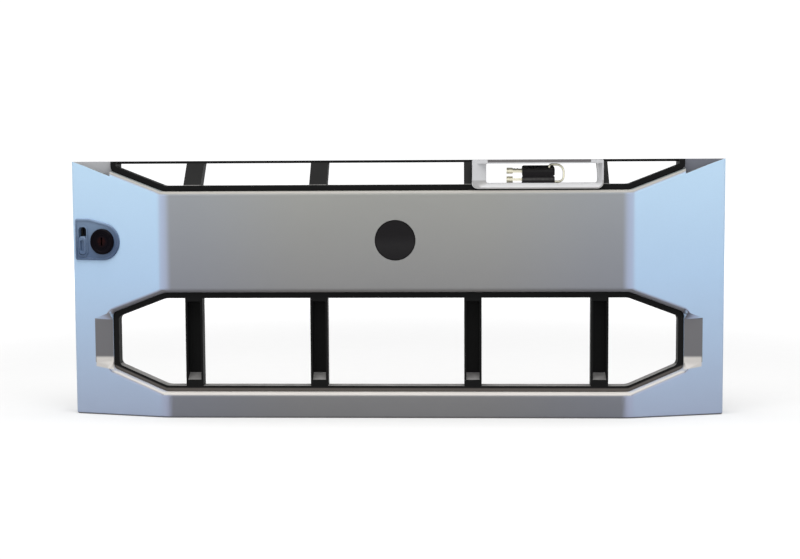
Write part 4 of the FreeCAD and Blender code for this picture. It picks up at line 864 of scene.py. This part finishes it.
class BEZEL_OT_stage(bpy.types.Operator):
    """Lay the pale floor and set the lamps and the camera"""

    bl_idname = "bezel.stage"
    bl_label = "Stage"

    def execute(self, context):
        studio = context.scene.bezel_studio
        self.floor()
        self.world(studio.ambient)
        self.lamp("Top lamp", (0.0, -0.35, 1.7), (0.0, 0.0, 0.1), (2.2, 1.6), studio.top_power, TOP_TINT)
        for name, side in (("Left lamp", -1), ("Right lamp", 1)):
            self.lamp(name, (side * 1.3, -1.5, 0.7), (0.0, 0.0, 0.09), (1.2, 1.2), studio.front_power,
                      FRONT_TINT)
        self.camera(studio)
        context.scene.view_settings.view_transform = "Standard"
        return {"FINISHED"}

    def floor(self):
        """Square sheet of paper whose back edge curves up."""
        half, bend = 4.0, 1.0
        bm = bmesh.new()
        bmesh.ops.create_grid(bm, x_segments=1, y_segments=1, size=half)
        back = [e for e in bm.edges if all(v.co.y > half - 0.1 for v in e.verts)]
        geom = [g for e in back for g in (e, *e.verts)]
        bmesh.ops.spin(bm, geom=list(set(geom)), cent=(0, half, bend), axis=(1, 0, 0), angle=math.pi / 2,
                       steps=24)
        for face in bm.faces:
            face.smooth = True
        mesh = bpy.data.meshes.new("floor")
        bm.to_mesh(mesh)
        bm.free()
        paper = Finish("Pale paper", 0.85, 0.0, Specular_IOR_Level=0.1)
        fibre = paper.noise(60.0, 4.0)
        paper.colour(paper.tint(PAPER_GREY, fibre, 0.985, 1.015))
        paper.surface(fibre, 0.05 * MM, 0.0, 0.2)
        self.lift(paper)
        mesh.materials.append(paper.material)
        floor = bpy.data.objects.new("floor", mesh)
        bpy.context.scene.collection.objects.link(floor)

    def seen_paths(self, nodes, links):
        """1 for what the camera sees, either straight, in a reflection or through a clear part."""
        path = nodes.new("ShaderNodeLightPath").outputs
        seen = path["Is Camera Ray"]
        for kind in ("Is Glossy Ray", "Is Transmission Ray"):
            either = nodes.new("ShaderNodeMath")
            either.operation = "MAXIMUM"
            links.new(seen, either.inputs[0])
            links.new(path[kind], either.inputs[1])
            seen = either.outputs[0]
        return seen

    def lift(self, paper):
        """The camera sees the paper a little brighter than it is lit, least near the bezel, where its
        shadow falls."""
        output = paper.nodes["Material Output"]
        away = paper.add("ShaderNodeVectorMath", {"operation": "LENGTH"})
        paper.feed(away.inputs[0], paper.place)
        strength = paper.span(away.outputs["Value"], 0.35, 1.3, 0.27, 0.9, smooth=True)
        glow = paper.add("ShaderNodeEmission", Color=tone_of(WHITE), Strength=strength)
        seen = self.seen_paths(paper.nodes, paper.links)
        both = paper.add("ShaderNodeAddShader")
        paper.feed(both.inputs[0], paper.shader.outputs[0])
        paper.feed(both.inputs[1], glow.outputs[0])
        pick = paper.add("ShaderNodeMixShader", Fac=seen)
        paper.feed(pick.inputs[1], paper.shader.outputs[0])
        paper.feed(pick.inputs[2], both.outputs[0])
        paper.feed(output.inputs["Surface"], pick.outputs[0])

    def world(self, ambient):
        """A dim, even room that the camera sees as white."""
        world = bpy.data.worlds.new("Studio")
        bpy.context.scene.world = world
        world.use_nodes = True
        nodes, links = world.node_tree.nodes, world.node_tree.links
        room = nodes["Background"]
        room.inputs["Color"].default_value = tone_of(ROOM_TINT)
        room.inputs["Strength"].default_value = ambient
        white = nodes.new("ShaderNodeBackground")
        white.inputs["Color"].default_value = tone_of(WHITE)
        white.inputs["Strength"].default_value = 1.0
        mix = nodes.new("ShaderNodeMixShader")
        links.new(self.seen_paths(nodes, links), mix.inputs[0])
        links.new(room.outputs[0], mix.inputs[1])
        links.new(white.outputs[0], mix.inputs[2])
        links.new(mix.outputs[0], nodes["World Output"].inputs["Surface"])

    def lamp(self, name, spot, target, size, power, colour):
        """A square-on lamp at the spot, turned to the target."""
        data = bpy.data.lights.new(name, "AREA")
        data.shape, data.size, data.size_y = "RECTANGLE", size[0], size[1]
        data.energy, data.color = power, colour
        lamp = bpy.data.objects.new(name, data)
        bpy.context.scene.collection.objects.link(lamp)
        lamp.location = spot
        lamp.rotation_mode = "QUATERNION"
        lamp.rotation_quaternion = (Vector(target) - Vector(spot)).to_track_quat("-Z", "Y")

    def camera(self, studio):
        """The photo's camera, from its place, yaw, pitch and roll."""
        yaw, pitch, roll = studio.yaw, studio.pitch, studio.roll
        ahead = Vector((math.sin(yaw) * math.cos(pitch), math.cos(yaw) * math.cos(pitch), -math.sin(pitch)))
        right = Vector((math.cos(yaw), -math.sin(yaw), 0))
        up = right.cross(ahead)
        right = right * math.cos(roll) + up * math.sin(roll)
        up = right.cross(ahead)
        data = bpy.data.cameras.new("Camera")
        data.lens, data.sensor_width = studio.lens, 36.0
        data.clip_start, data.clip_end = 0.01, 50.0
        camera = bpy.data.objects.new("Camera", data)
        bpy.context.scene.collection.objects.link(camera)
        turn = Matrix((right, up, -ahead)).transposed().to_4x4()
        camera.matrix_world = Matrix.Translation(Vector(studio.eye)) @ turn
        bpy.context.scene.camera = camera


OPERATORS = (BEZEL_OT_fascia, BEZEL_OT_inner_frame, BEZEL_OT_badge, BEZEL_OT_display, BEZEL_OT_keys,
             BEZEL_OT_lock, BEZEL_OT_latch, BEZEL_OT_screws, BEZEL_OT_stage)


class BEZEL_PT_panel(bpy.types.Panel):
    """Lists the bezel's pieces and their sizes and colours"""

    bl_label = "Server front bezel"
    bl_space_type = "VIEW_3D"
    bl_region_type = "UI"
    bl_category = "Bezel"

    def draw(self, context):
        layout, scene = self.layout, context.scene
        for operator in OPERATORS:
            layout.operator(operator.bl_idname)
        for group in (scene.bezel_paint, scene.bezel_plastics, scene.bezel_pieces, scene.bezel_studio):
            column = layout.column()
            for name in group.bl_rna.properties.keys():
                if name not in ("rna_type", "name"):
                    column.prop(group, name)


GROUPS = {"bezel_paint": BezelPaint, "bezel_plastics": BezelPlastics, "bezel_pieces": BezelPieces,
          "bezel_studio": BezelStudio}


def register():
    for cls in (*GROUPS.values(), *OPERATORS, BEZEL_PT_panel):
        bpy.utils.register_class(cls)
    for name, group in GROUPS.items():
        setattr(bpy.types.Scene, name, PointerProperty(type=group))


def unregister():
    for name in GROUPS:
        delattr(bpy.types.Scene, name)
    for cls in reversed((*GROUPS.values(), *OPERATORS, BEZEL_PT_panel)):
        bpy.utils.unregister_class(cls)


def main():
    register()
    bpy.ops.bezel.fascia()
    bpy.ops.bezel.inner_frame()
    bpy.ops.bezel.badge()
    bpy.ops.bezel.display()
    bpy.ops.bezel.keys()
    bpy.ops.bezel.lock()
    bpy.ops.bezel.latch()
    bpy.ops.bezel.screws()
    bpy.ops.bezel.stage()


if __name__ == "__main__":
    main()
